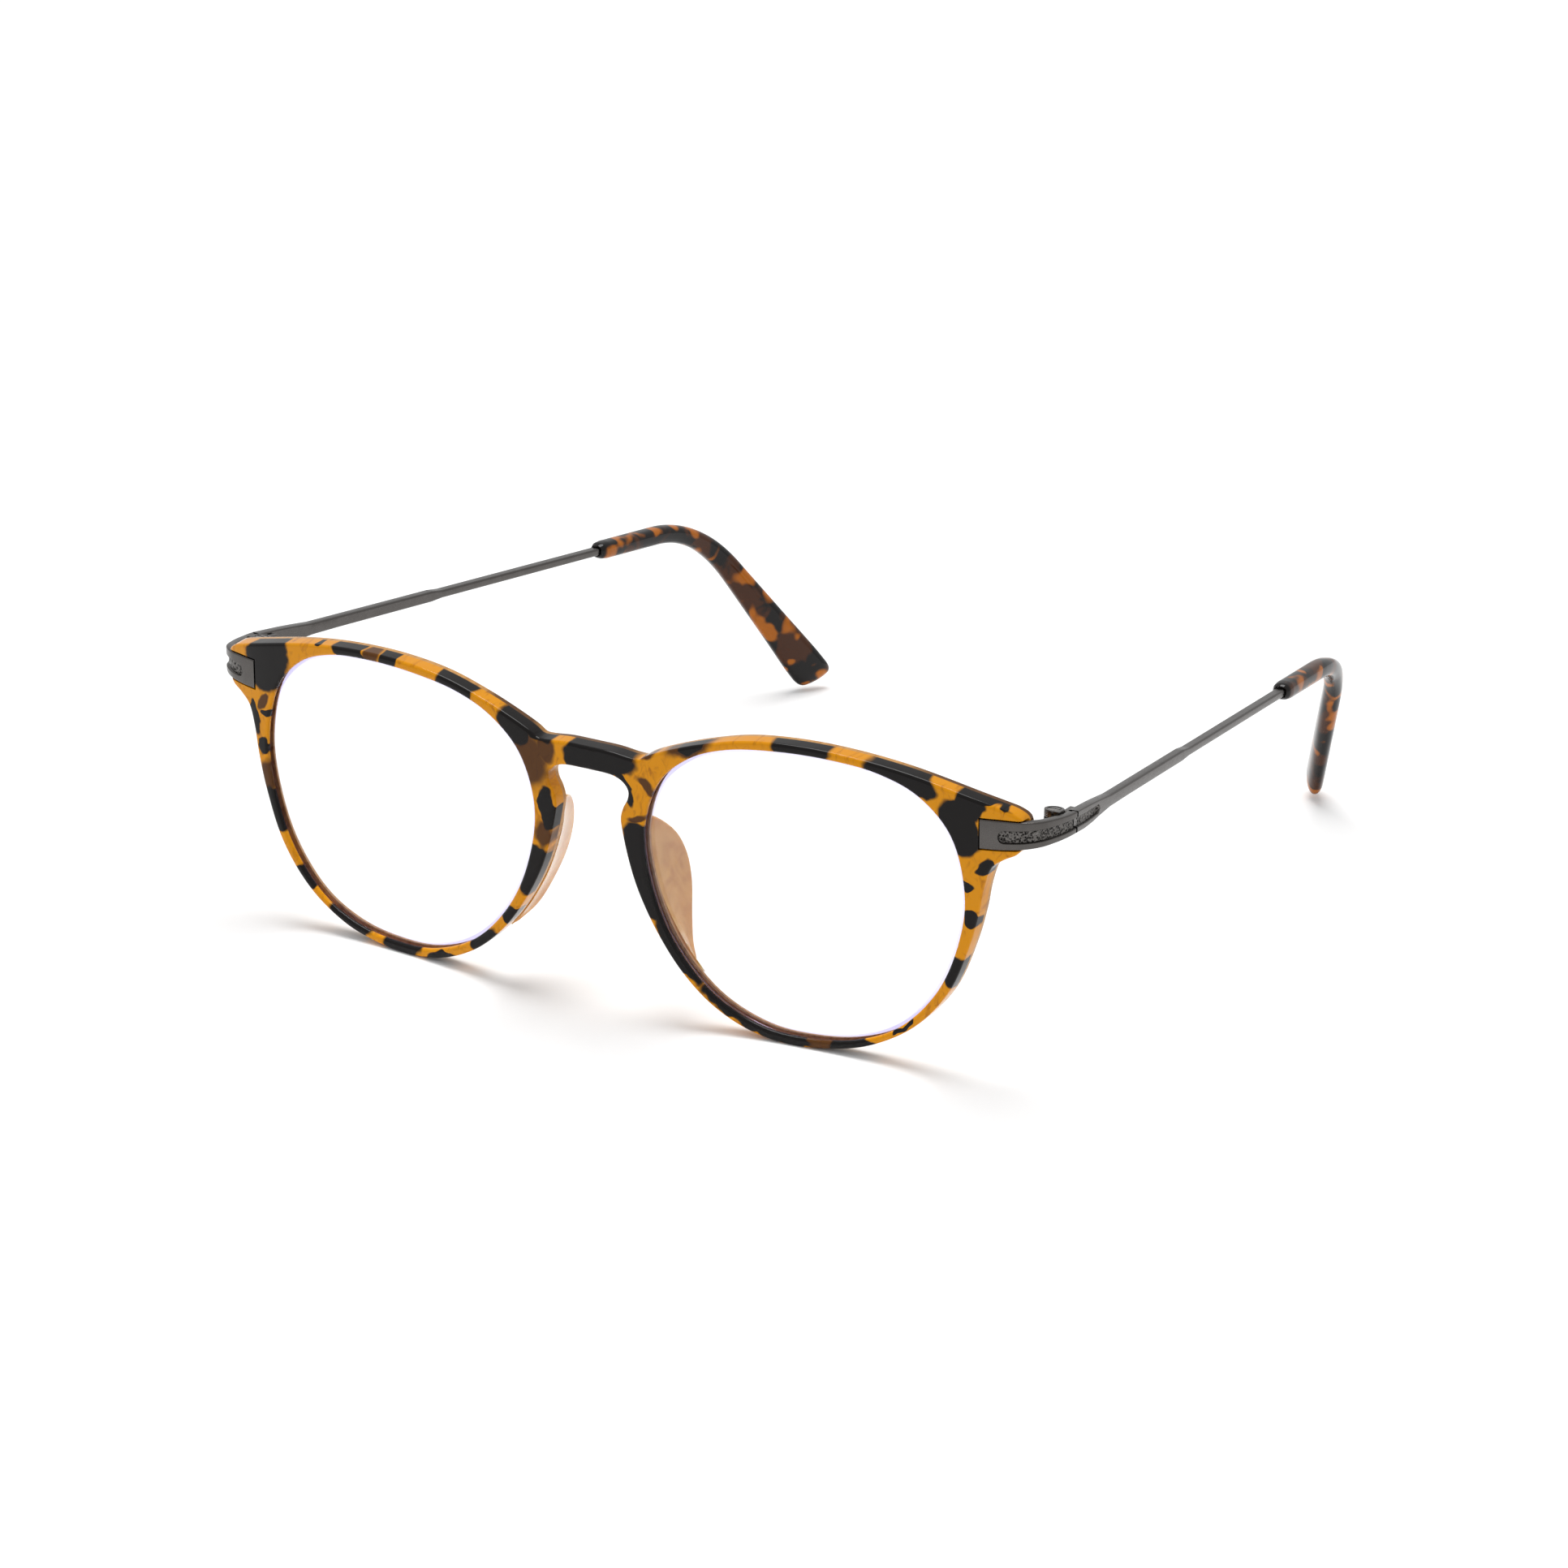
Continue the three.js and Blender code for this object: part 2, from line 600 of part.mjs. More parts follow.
for (const [sideName, side] of [['left', 1], ['right', -1]]) {
  const onSide = (geometry) => (side > 0 ? geometry : mirrored(geometry));
  const hinge = new THREE.Group();
  hinge.position.set(side * HINGE_AXIS[0], HINGE_AXIS[1], HINGE_AXIS[2]);
  hinge.rotation.set(radians(-TEMPLE_DROP), 0, radians(-side * TEMPLE_SPLAY), 'ZXY');
  front.add(hinge);

  addPiece(front, `lens_${sideName}`, onSide(lens()), 'lens');
  addPiece(front, `nose_pad_${sideName}`, onSide(nosePad()), 'honey');
  addPiece(front, `endpiece_${sideName}`, onSide(endpiece()), 'gunmetal');
  for (const [place, height] of Object.entries(RIVET_HEIGHTS)) {
    addPiece(front, `endpiece_rivet_${place}_${sideName}`, onSide(rivetOnFront(height, 0)), 'steel');
  }
  addPiece(hinge, `front_hinge_${sideName}`, onSide(frontHinge()), 'gunmetal');
  addPiece(hinge, `temple_hinge_${sideName}`, onSide(templeHinge()), 'gunmetal');
  addPiece(hinge, `hinge_screw_${sideName}`, onSide(hingeScrew()), 'steel');
  addPiece(hinge, `temple_arm_${sideName}`, onSide(templeArm()), 'gunmetal');
  addPiece(hinge, `temple_tip_${sideName}`, onSide(templeTip()), 'darkTortoise');
}

// The origin goes under the middle of the whole object, on the surface that it stands on.
glasses.updateMatrixWorld(true);
const bounds = new THREE.Box3().setFromObject(glasses, true);
const middle = bounds.getCenter(new THREE.Vector3());
front.position.set(-middle.x, -middle.y, -bounds.min.z);

export default glasses;
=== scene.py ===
"""Looks of the reading glasses: refined meshes, procedural materials, studio and camera.

Shapes are drawn in millimetres, in the same two frames as the CAD source. The front's frame has
X sideways from the middle of the bridge, Y back from the front surface and Z up along the lens
plane. A hinge's frame has its origin on the hinge axis, X outwards, Y back along the arm and Z
along the axis. Only the +X side is drawn, and the other side is its mirror image.
"""
import json
from math import atan, cos, pi, radians, sin, sqrt

import bmesh
import bpy
from mathutils import Matrix, Vector, noise

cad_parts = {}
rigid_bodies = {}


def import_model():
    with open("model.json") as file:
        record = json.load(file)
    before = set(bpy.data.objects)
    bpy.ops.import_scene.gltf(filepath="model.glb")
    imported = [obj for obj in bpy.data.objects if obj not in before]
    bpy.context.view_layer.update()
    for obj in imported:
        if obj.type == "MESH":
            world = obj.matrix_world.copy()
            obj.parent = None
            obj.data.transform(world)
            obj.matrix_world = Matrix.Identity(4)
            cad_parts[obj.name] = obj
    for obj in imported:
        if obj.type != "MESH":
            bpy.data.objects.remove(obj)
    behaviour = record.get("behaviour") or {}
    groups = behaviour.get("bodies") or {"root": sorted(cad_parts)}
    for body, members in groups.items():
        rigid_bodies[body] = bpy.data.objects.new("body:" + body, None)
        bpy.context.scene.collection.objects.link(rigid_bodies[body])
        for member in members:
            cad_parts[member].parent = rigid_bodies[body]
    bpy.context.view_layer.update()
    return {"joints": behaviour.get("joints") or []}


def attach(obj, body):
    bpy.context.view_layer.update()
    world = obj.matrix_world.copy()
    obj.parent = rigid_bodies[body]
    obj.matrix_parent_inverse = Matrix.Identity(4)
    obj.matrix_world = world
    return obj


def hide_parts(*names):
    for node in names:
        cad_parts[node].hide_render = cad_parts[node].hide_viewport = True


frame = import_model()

MM = 0.001

# ---------- driving dimensions, mm and degrees ----------

LENS_WIDTH = 50
BRIDGE_WIDTH = 17
LENS_CENTRE = (LENS_WIDTH + BRIDGE_WIDTH) / 2
FRONT_THICKNESS = 3.5
FRONT_EDGE = 0.5
FRONT_BOW = 0.00162
END_WRAP = 0.014
WRAP_START = 58
FRONT_TILT = 4.5

LENS_THICKNESS = 1.7
LENS_DOME = 1.0
LENS_SEAT = 0.5
LENS_GAP = 0.2

TEMPLE_SPLAY = -6.0
TEMPLE_DROP = 8.1
ARM_LENGTH = 110
DROP_LENGTH = 36.8          # shorter than in the CAD, so that the squarer end stays in its box
ARM_THICKNESS = 1.5
DROP_ANGLE = 50.4
CURL_ANGLE = 16.3
SLEEVE_START = 83.8
TIP_SLANT = 0.3

HINGE_AXIS = Vector((66.1, 16.65, 12.3))
KNUCKLE_RADIUS = 1.45
KNUCKLE_HEIGHT = 1.1
KNUCKLE_GAP = 0.09
BARREL_LIFT = 0.12
SCREW_RADIUS = 0.6
SCREW_HEAD_RADIUS = 0.95
BORE_CLEARANCE = 0.05

SEAM = 1.55
SEAM_GAP = 0.4              # wider than in the CAD, so that the seam shows
TONGUE = (0.7, 1.2)         # how far it reaches over the seam, and its height
LIP = (0.7, 2.9)            # the same for the lip that closes the seam from behind
ARM_OFFSET = KNUCKLE_RADIUS + 0.1 + ARM_THICKNESS / 2
FIT_GAP = 0.1

PAD_ROOT = 2.0
STRIP_THICKNESS = 1.3
GROOVE_DEPTH = 0.38
GROOVE_START = 0.13

RIVET_RADIUS = 0.55
RIVET_HEAD_RADIUS = 0.95
RIVET_X = 62.3
RIVET_HEIGHTS = {"upper": 14.2, "lower": 11.85}

LENS_CHAMFER = 0.12
LEAF_INNER = 0.55           # x of the hinge leaf's inner face
LEAF_REACH = 4.6            # how far a leaf reaches from the hinge axis
ARM_CHANNEL_END = 8.3       # from the seam to the end of the channel in the arm
SCREW_SLOT = (0.28, 0.17)   # width and depth
TIP_BEND_REACH = 11         # from the ear bend's corner to where the bend starts and ends

# How finely curves are cut up.
OUTLINE_STEPS = 7          # between two points of an outline
BEND_SPACING = 1.5
ROUND_SIDES = 48

# Half of the front's outer edge (x, z), from the middle of the bridge round to the keyhole.
FRONT_OUTLINE = [
    (0, 16.1), (4, 16.05), (7.3, 15.7), (8.4, 15.75), (9.6, 16.5), (12.5, 17.8), (18, 19.8), (25, 21.6),
    (33, 22.25), (41, 21.9), (49, 20.75), (57, 18.8), (62.3, 17.25), (64.5, 16.4), (65.7, 15.4),
    (66.0, 14.0), (65.9, 12.0), (65.1, 10.3), (63.3, 9.3), (61.7, 8.0), (60.7, 5.0),
    (60.0, 1.0), (58.6, -4.5), (55.6, -12.0), (50.6, -18.0), (44, -21.9), (38, -23.4), (32, -23.79),
    (26, -22.9), (20, -20.1), (15, -15.7), (11, -10.2), (8.1, -4.6), (6.6, -0.2), (5.6, 4.2),
    (5.35, 6.2), (5.8, 7.9), (6.5, 9.3), (6.6, 10.6), (5.8, 11.7), (4.2, 12.4), (0, 12.6),
]

# The lens opening (x, z), measured from the lens centre.
OPENING_OUTLINE = [
    (24.4, 3.5), (22.3, 12.2), (17.6, 17.4), (11.7, 19.9), (5.0, 20.8), (-3.0, 20.8), (-11.2, 19.7),
    (-17.1, 17.3), (-21.9, 12.8), (-24.4, 5.0), (-23.3, -3.5), (-19.8, -11.5), (-13.5, -18.4),
    (-5.7, -21.9), (1.5, -22.4), (8.5, -21.4), (15.0, -18.3), (20.6, -11.8), (23.7, -3.5),
]

# The metal strip's outer surface (x, y, z of its middle, and its height).
STRIP_PATH = [
    (60.2, 5.84, 13.12, 4.45), (62.9, 6.6, 13.12, 4.4), (65.6, 7.8, 13.1, 4.15),
    (67.6, 9.8, 13.02, 3.85), (68.5, 12.7, 12.72, 3.6), (68.92, 15.9, 12.35, 3.35),
    (68.97, 18.5, 12.08, 3.2), (68.8, 20.1, 11.85, 3.2),
]

# The arm: distance behind the seam, top and bottom edge.
ARM_PROFILE = [
    (0, 1.6, -1.6), (3, 1.52, -1.65), (6, 1.42, -1.45), (8.2, 1.3, -1.15), (12.5, 1.05, -0.8),
    (19, 1.03, -0.72), (41.5, 0.98, -0.68), (44, 0.76, -0.48), (SLEEVE_START + 1.2, 0.7, -0.46),
]

# The plastic tip: share of its length, height and thickness.
SLEEVE_PROFILE = [
    (0, 1.9, 2.1), (0.01, 2.5, 2.8), (0.03, 2.8, 3.1), (0.32, 2.85, 3.05), (0.42, 3.05, 3.0),
    (0.6, 3.9, 2.9), (0.8, 5.2, 2.8), (0.92, 6.1, 2.7), (1, 6.25, 2.65),
]
TIP_ROUNDING = 0.045        # share of the tip's length over which its end is rounded

# The nose pad in level slices: height, x where it leaves the rim, x and y of its rear edge.
PAD_SLICES = [
    (6.2, 5.7, 6.0, 4.1), (5.7, 5.75, 6.4, 5.5), (4.4, 5.9, 7.4, 7.9), (1.4, 6.3, 8.75, 10.8),
    (-2.2, 7.3, 9.75, 12.1), (-6, 8.7, 10.65, 11.8), (-10.2, 10.9, 11.85, 9.8), (-13.4, 13.0, 13.2, 7.8),
    (-15.3, 14.6, 14.8, 6.0), (-16.2, 15.3, 15.6, 4.5),
]

# Blotches of the tortoiseshell on the front: x, z, half length, half width and angle.
BLACK_BLOTCHES = [
    (-57.6, 16.0, 5.2, 4.0, 60), (-60.4, 6.6, 2.9, 0.9, -80), (-57.9, 7.6, 1.0, 0.6, -10),
    (-58.9, 2.2, 1.6, 1.2, 90), (-56.5, -7.1, 3.7, 2.0, -70), (-51.2, -16.7, 1.9, 2.0, -34),
    (-42.8, -20.6, 4.1, 2.4, -22), (-33.2, -22.4, 3.6, 1.8, 0), (-26.0, -22.9, 3.2, 1.1, 18),
    (-17.7, -18.3, 2.9, 2.4, 36), (-13.1, -13.2, 1.7, 2.4, 48), (-9.3, -5.0, 4.6, 2.3, -110),
    (-6.7, 4.9, 3.3, 1.4, -82), (-12.3, 16.6, 3.2, 2.0, -35), (-8.2, 16.6, 2.2, 1.3, -25),
    (-22.7, 20.6, 3.2, 2.2, -19), (-34.4, 21.6, 1.7, 1.8, -5), (-41.2, 21.0, 3.4, 1.2, -4),
    (-47.3, 21.6, 1.6, 0.7, 8), (2.2, 14.7, 5.8, 2.6, 0), (-0.4, 14.5, 3.6, 2.6, 10),
    (6.0, 11.2, 3.0, 1.0, -62), (8.4, 1.4, 5.0, 2.6, -76), (9.6, -4.5, 5.6, 1.7, -62),
    (14.5, -12.6, 5.6, 1.6, -50), (24.6, -20.0, 7.4, 2.0, -26), (32.0, -22.8, 3.4, 1.3, -4),
    (41.5, -22.4, 3.8, 1.6, 12), (49.2, -18.1, 2.0, 0.4, 32), (57.0, -8.7, 2.6, 2.4, -115),
    (58.4, 4.7, 0.8, 1.0, -76), (59.0, 0.0, 1.4, 0.8, -85), (61.0, 8.2, 1.6, 1.0, -120),
    (57.2, 13.6, 4.6, 2.8, -66), (58.4, 17.0, 2.6, 2.4, -10), (61.6, 17.9, 3.6, 0.6, -19),
    (48.7, 19.7, 5.5, 2.0, -17), (33.5, 21.8, 4.6, 2.0, 3), (16.6, 19.2, 2.3, 0.8, 24),
]
BROWN_BLOTCHES = [
    (-57.9, -2.2, 2.2, 2.0, -68), (-7.2, 1.0, 1.6, 1.8, 12), (-10.4, 12.8, 5.2, 3.4, -62),
    (-6.9, 14.4, 1.5, 2.2, 0), (8.8, 16.9, 2.4, 0.9, 14), (9.6, 12.0, 1.8, 0.8, -46),
    (8.4, 6.7, 1.6, 0.5, 7), (37.0, -22.6, 3.4, 1.0, 5), (16.0, 19.3, 4.0, 1.7, 19),
    (-37.4, 22.0, 1.2, 1.4, 0), (-58.6, 9.4, 1.6, 0.7, 60), (55.6, 9.0, 1.2, 0.5, -70),
]

REAR_BLOTCHES = [(59, 17.8, 10, 3.2, -19), (0, 16, 7.5, 2.5, 0), (-13.5, 18.2, 5, 2, -28)]

# ---------- frames ----------


def front_matrix():
    tilt = Matrix.Rotation(radians(FRONT_TILT), 4, "X")
    hinge = next(joint for joint in frame["joints"] if joint["name"] == "left_temple_fold")
    move = Vector(hinge["pos_m"]) - tilt @ (HINGE_AXIS * MM)
    return Matrix.Translation(move) @ tilt @ Matrix.Scale(MM, 4)


def hinge_on_front():
    turn = Matrix.Rotation(radians(-TEMPLE_SPLAY), 4, "Z") @ Matrix.Rotation(radians(-TEMPLE_DROP), 4, "X")
    return Matrix.Translation(HINGE_AXIS) @ turn


FRONT = front_matrix()
HINGE = FRONT @ hinge_on_front()

# ---------- numbers along curves and tables ----------


def lerp(start, end, share):
    return start + (end - start) * share


def smoothstep(value, low, high):
    share = min(1, max(0, (value - low) / (high - low)))
    return share * share * (3 - 2 * share)


def look_up(table, place, column):
    """The value at a place along a table whose first column rises."""
    place = min(max(place, table[0][0]), table[-1][0])
    for before, after in zip(table, table[1:]):
        if place <= after[0]:
            return lerp(before[column], after[column], (place - before[0]) / (after[0] - before[0]))
    return table[-1][column]


def value_at(table, share, column):
    """The value at a share of the way down a table with evenly spread rows."""
    row = share * (len(table) - 1)
    low = min(int(row), len(table) - 2)
    return lerp(table[low][column], table[low + 1][column], row - low)


def curve_point(points, position, closed=False):
    """A point on the centripetal Catmull-Rom curve through points, position counted in points."""
    count = len(points)
    index = int(position)
    if not closed and index >= count - 1:
        index = count - 2
    share = position - index

    def at(i):
        if closed:
            return points[i % count]
        if i < 0:
            return points[0] * 2 - points[1]
        if i >= count:
            return points[-1] * 2 - points[-2]
        return points[i]

    p0, p1, p2, p3 = (at(index + step) for step in (-1, 0, 1, 2))
    d0, d1, d2 = (sqrt((b - a).length) for a, b in ((p0, p1), (p1, p2), (p2, p3)))
    t1 = ((p1 - p0) / d0 - (p2 - p0) / (d0 + d1) + (p2 - p1) / d1) * d1
    t2 = ((p2 - p1) / d1 - (p3 - p1) / (d1 + d2) + (p3 - p2) / d2) * d1
    square, cube = share * share, share ** 3
    return p1 + t1 * share + (p2 * 3 - p1 * 3 - t1 * 2 - t2) * square + (p1 * 2 - p2 * 2 + t1 + t2) * cube


def smooth_outline(outline, closed):
    points = [Vector(pair) for pair in outline]
    spans = len(points) if closed else len(points) - 1
    smooth = [curve_point(points, step / OUTLINE_STEPS, closed) for step in range(spans * OUTLINE_STEPS)]
    return smooth if closed else smooth + [points[-1]]


def bow(x):
    past = max(0, abs(x) - WRAP_START)
    return FRONT_BOW * x * x + END_WRAP * past * past


def bow_slope(x):
    return 2 * FRONT_BOW * x + 2 * END_WRAP * max(0, x - WRAP_START)


# ---------- meshes ----------


def mesh_object(name, points, faces):
    mesh = bpy.data.meshes.new(name)
    mesh.from_pydata([tuple(point) for point in points], [], faces)
    piece = bpy.data.objects.new(name, mesh)
    bpy.context.scene.collection.objects.link(piece)
    edit(piece, lambda bm: bmesh.ops.recalc_face_normals(bm, faces=bm.faces))
    return piece


def edit(piece, change):
    bm = bmesh.new()
    bm.from_mesh(piece.data)
    change(bm)
    bm.to_mesh(piece.data)
    bm.free()


def loft(name, rings, marked=lambda ring, side: False):
    """A closed skin over rings of points. Marked sides get the second material."""
    sides = len(rings[0])
    points = [point for ring in rings for point in ring]
    faces = [list(range(sides))]
    marks = [False]
    for ring in range(len(rings) - 1):
        for side in range(sides):
            a = ring * sides + side
            b = ring * sides + (side + 1) % sides
            faces.append([a, b, b + sides, a + sides])
            marks.append(marked(ring, side))
    faces.append([(len(rings) - 1) * sides + side for side in range(sides)])
    marks.append(False)
    piece = mesh_object(name, points, faces)
    for polygon, mark in zip(piece.data.polygons, marks):
        polygon.material_index = 1 if mark else 0
    return piece


def box(x, y, z):
    corners = [(x[i], y[j], z[k]) for i in (0, 1) for j in (0, 1) for k in (0, 1)]
    faces = [(0, 1, 3, 2), (4, 6, 7, 5), (0, 4, 5, 1), (2, 3, 7, 6), (0, 2, 6, 4), (1, 5, 7, 3)]
    return mesh_object("tool", corners, faces)


def lathe(name, profile, sides=ROUND_SIDES):
    """Turns a profile of (radius, height) about Z, closed at both ends."""
    rings = [
        [(radius * cos(2 * pi * i / sides), radius * sin(2 * pi * i / sides), height) for i in range(sides)]
        for radius, height in profile
    ]
    return loft(name, rings)


def disc(radius, bottom, top, edge=0.0):
    profile = [(radius, bottom), (radius, top)]
    if edge:
        profile = [
            (radius - edge, bottom), (radius - 0.3 * edge, bottom + 0.3 * edge), (radius, bottom + edge),
            (radius, top - edge), (radius - 0.3 * edge, top - 0.3 * edge), (radius - edge, top),
        ]
    return lathe("tool", profile)


def apply_modifier(piece, kind, **settings):
    modifier = piece.modifiers.new(kind, kind)
    for key, value in settings.items():
        setattr(modifier, key, value)
    graph = bpy.context.evaluated_depsgraph_get()
    mesh = bpy.data.meshes.new_from_object(piece.evaluated_get(graph))
    piece.modifiers.clear()
    old = piece.data
    piece.data = mesh
    bpy.data.meshes.remove(old)


def combine(piece, tools, operation="DIFFERENCE"):
    """Cuts the tools from a piece, or joins them to it, and removes them."""
    for tool in tools:
        apply_modifier(piece, "BOOLEAN", operation=operation, solver="EXACT", object=tool)
        remove(tool)
    return piece


def remove(piece):
    mesh = piece.data
    bpy.data.objects.remove(piece)
    bpy.data.meshes.remove(mesh)


def round_edges(piece, width, segments=2, angle=40):
    apply_modifier(piece, "BEVEL", width=width, segments=segments, limit_method="ANGLE",
                   angle_limit=radians(angle), use_clamp_overlap=True)
    return piece


def placed(piece, matrix):
    piece.data.transform(matrix)
    if matrix.determinant() < 0:
        piece.data.flip_normals()
    piece.data.update()
    return piece


def smooth_shaded(piece, angle=35):
    mesh = piece.data
    mesh.shade_smooth()
    mesh.set_sharp_from_angle(angle=radians(angle))
    apply_modifier(piece, "WEIGHTED_NORMAL", keep_sharp=True, weight=60)
    return piece


MIRROR = Matrix.Scale(-1, 4, (1, 0, 0))


def copied(piece, name):
    twin = bpy.data.objects.new(name, piece.data.copy())
    bpy.context.scene.collection.objects.link(twin)
    return twin


def both_sides(piece, matrix, angle=35):
    """Places a piece on the +X side, and its mirror image on the other."""
    placed(piece, matrix)
    other = placed(copied(piece, piece.name), MIRROR)
    base = piece.name
    piece.name = f"{base}_left_fine"
    other.name = f"{base}_right_fine"
    return {"left": smooth_shaded(piece, angle), "right": smooth_shaded(other, angle)}


def finish_piece(piece, body, nodes, materials):
    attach(piece, body)
    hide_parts(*nodes)
    dress(piece, materials)


def dress(piece, names):
    """Gives a piece its materials, unless it got them before its cuts."""
    if not piece.data.materials:
        for name in names:
            piece.data.materials.append(MATERIALS[name])


# ---------- the plastic front ----------


def front_outline():
    half = smooth_outline(FRONT_OUTLINE, closed=False)
    return half + [Vector((-point.x, point.y)) for point in reversed(half[1:-1])]


def opening_outline(width, side):
    scale = width / (LENS_WIDTH - 2 * LENS_SEAT)
    return [
        Vector((side * (LENS_CENTRE + scale * point.x), scale * point.y))
        for point in smooth_outline(OPENING_OUTLINE, closed=True)
    ]


def bent_plate(name, outlines, near, far, edge):
    """A flat shape with holes, stood up between two depths, with rounded edges, and bowed."""
    curve = bpy.data.curves.new(name, "CURVE")
    curve.dimensions = "2D"
    curve.fill_mode = "BOTH"
    curve.extrude = (far - near) / 2 - edge
    curve.bevel_depth = edge
    curve.bevel_resolution = 3 if edge else 0
    curve.offset = -edge
    for outline in outlines:
        spline = curve.splines.new("POLY")
        spline.points.add(len(outline) - 1)
        for target, point in zip(spline.points, outline):
            target.co = (point.x, point.y, 0, 1)
        spline.use_cyclic_u = True
    holder = bpy.data.objects.new(name, curve)
    bpy.context.scene.collection.objects.link(holder)
    graph = bpy.context.evaluated_depsgraph_get()
    mesh = bpy.data.meshes.new_from_object(holder.evaluated_get(graph))
    bpy.data.objects.remove(holder)
    bpy.data.curves.remove(curve)
    plate = bpy.data.objects.new(name, mesh)
    bpy.context.scene.collection.objects.link(plate)
    mesh.transform(Matrix.Translation((0, (near + far) / 2, 0)) @ Matrix.Rotation(pi / 2, 4, "X"))
    edit(plate, bend_back)
    return plate


def bend_back(bm):
    """Slices a plate into narrow strips and moves them back along the bow."""
    bmesh.ops.remove_doubles(bm, verts=bm.verts, dist=0.002)
    reach = max(vert.co.x for vert in bm.verts)
    start = min(vert.co.x for vert in bm.verts)
    steps = int((reach - start) / BEND_SPACING)
    for step in range(1, steps):
        everything = bm.verts[:] + bm.edges[:] + bm.faces[:]
        place = (lerp(start, reach, step / steps), 0, 0)
        bmesh.ops.bisect_plane(bm, geom=everything, plane_co=place, plane_no=(1, 0, 0), dist=0.001)
    for vert in bm.verts:
        vert.co.y += bow(vert.co.x)
    bmesh.ops.recalc_face_normals(bm, faces=bm.faces)


def lens_slot(side):
    half = LENS_THICKNESS / 2 + LENS_GAP
    middle = FRONT_THICKNESS / 2
    outlines = [opening_outline(LENS_WIDTH + 3 * LENS_GAP, side), opening_outline(LENS_WIDTH * 0.9, side)]
    return bent_plate("tool", outlines, middle - half, middle + half, 0)


def front_plastic():
    openings = [opening_outline(LENS_WIDTH - 2 * LENS_SEAT, side) for side in (1, -1)]
    plate = bent_plate("front_plastic", [front_outline(), *openings], 0, FRONT_THICKNESS, FRONT_EDGE)
    recesses = [plain_strip(2 * FIT_GAP)]
    recesses += [rivet_on_front("tool", height, FIT_GAP) for height in RIVET_HEIGHTS.values()]
    others = [placed(copied(tool, "tool"), MIRROR) for tool in recesses]
    combine(plate, [lens_slot(1), lens_slot(-1), *recesses, *others])
    return smooth_shaded(placed(plate, FRONT))


# ---------- lenses and nose pads ----------


def lens():
    rim = opening_outline(LENS_WIDTH, 1)
    centre = Vector((LENS_CENTRE, 0))
    near = (FRONT_THICKNESS - LENS_THICKNESS) / 2

    def ring_at(scale, depth):
        flat = [centre + (point - centre) * scale for point in rim]
        dome = LENS_DOME * (1 - scale * scale)
        return [Vector((point.x, depth + bow(point.x) - dome, point.y)) for point in flat]

    scales = [0.04, 0.15, 0.3, 0.45, 0.6, 0.72, 0.84, 0.96, 0.99]
    front = [ring_at(scale, near) for scale in scales]
    back = [ring_at(scale, near + LENS_THICKNESS) for scale in reversed(scales)]
    wall = [ring_at(1, near + LENS_CHAMFER), ring_at(1, near + LENS_THICKNESS - LENS_CHAMFER)]
    middle = len(front)
    # The band round the lens edge gets the violet-tinted glass: a painted reflection of the coating's violet
    # sheen.
    piece = loft("lens", front + wall + back, lambda ring, side: middle - 2 <= ring <= middle + 2)
    dress(piece, ["lens", "lens_edge"])
    return piece


def nose_pad():
    """A fin that flares where it leaves the rim and ends in a rounded rear edge."""
    slices = [Vector(row) for row in PAD_SLICES]
    rings = []
    for step in range(4 * (len(slices) - 1) + 1):
        height, base_x, rear_x, rear_y = curve_point(slices, step / 4)
        rings.append(pad_section(height, base_x, rear_x, rear_y))
    return loft("nose_pad", rings)


def pad_section(height, base_x, rear_x, rear_y):
    start = FRONT_THICKNESS + FIT_GAP
    inner = Vector((base_x, start + bow(base_x)))
    half_tip = min(0.5, (rear_y - inner.y) / 3)
    outer = Vector((base_x + PAD_ROOT, start + bow(base_x + PAD_ROOT)))
    tip = Vector((rear_x, rear_y - 2 * half_tip))
    inner_tip = tip - Vector((half_tip, 0))
    outer_tip = tip + Vector((half_tip, 0))
    points = []
    for step in range(6):
        hollow = Vector((0.35, 0)) * sin(pi * step / 6)
        points.append(lerp(outer, outer_tip, step / 6) - hollow)
    for step in range(9):
        angle = pi * step / 8
        points.append(tip + Vector((cos(angle), sin(angle))) * half_tip)
    for step in range(1, 7):
        hollow = Vector((0.12, 0)) * sin(pi * step / 6)
        points.append(lerp(inner_tip, inner, step / 6) + hollow)
    return [Vector((point.x, point.y, height)) for point in points]


# ---------- metal strips: sections with a sunk channel on the outer side ----------

CORNER_STEPS = 3
FLOOR_STEPS = 9


def channel_section(width, height, corner, channel, depth, lift):
    """Points (sideways, up) round a strip. channel is the channel's height and depth how deep it is."""
    w, h = width / 2, height / 2
    points = corner_arc(w - corner, -h + corner, corner, -90)
    lip = min(0.07, channel / 4)
    low, high = lift - channel / 2, lift + channel / 2
    points += [(w, low - lip), (w - min(lip, depth), low)]
    for step in range(FLOOR_STEPS + 1):
        points.append((w - depth, lerp(low + lip, high - lip, step / FLOOR_STEPS)))
    points += [(w - min(lip, depth), high), (w, high + lip)]
    points += corner_arc(w - corner, h - corner, corner, 0)
    points += corner_arc(-w + corner, h - corner, corner, 90)
    points += corner_arc(-w + corner, -h + corner, corner, 180)
    return points


def corner_arc(x, y, radius, start):
    angles = [radians(start + 90 * step / CORNER_STEPS) for step in range(CORNER_STEPS + 1)]
    return [(x + radius * cos(angle), y + radius * sin(angle)) for angle in angles]


FLOOR_FIRST = CORNER_STEPS + 1 + 2
FLOOR_LAST = FLOOR_FIRST + FLOOR_STEPS


def is_floor(side):
    return FLOOR_FIRST <= side < FLOOR_LAST


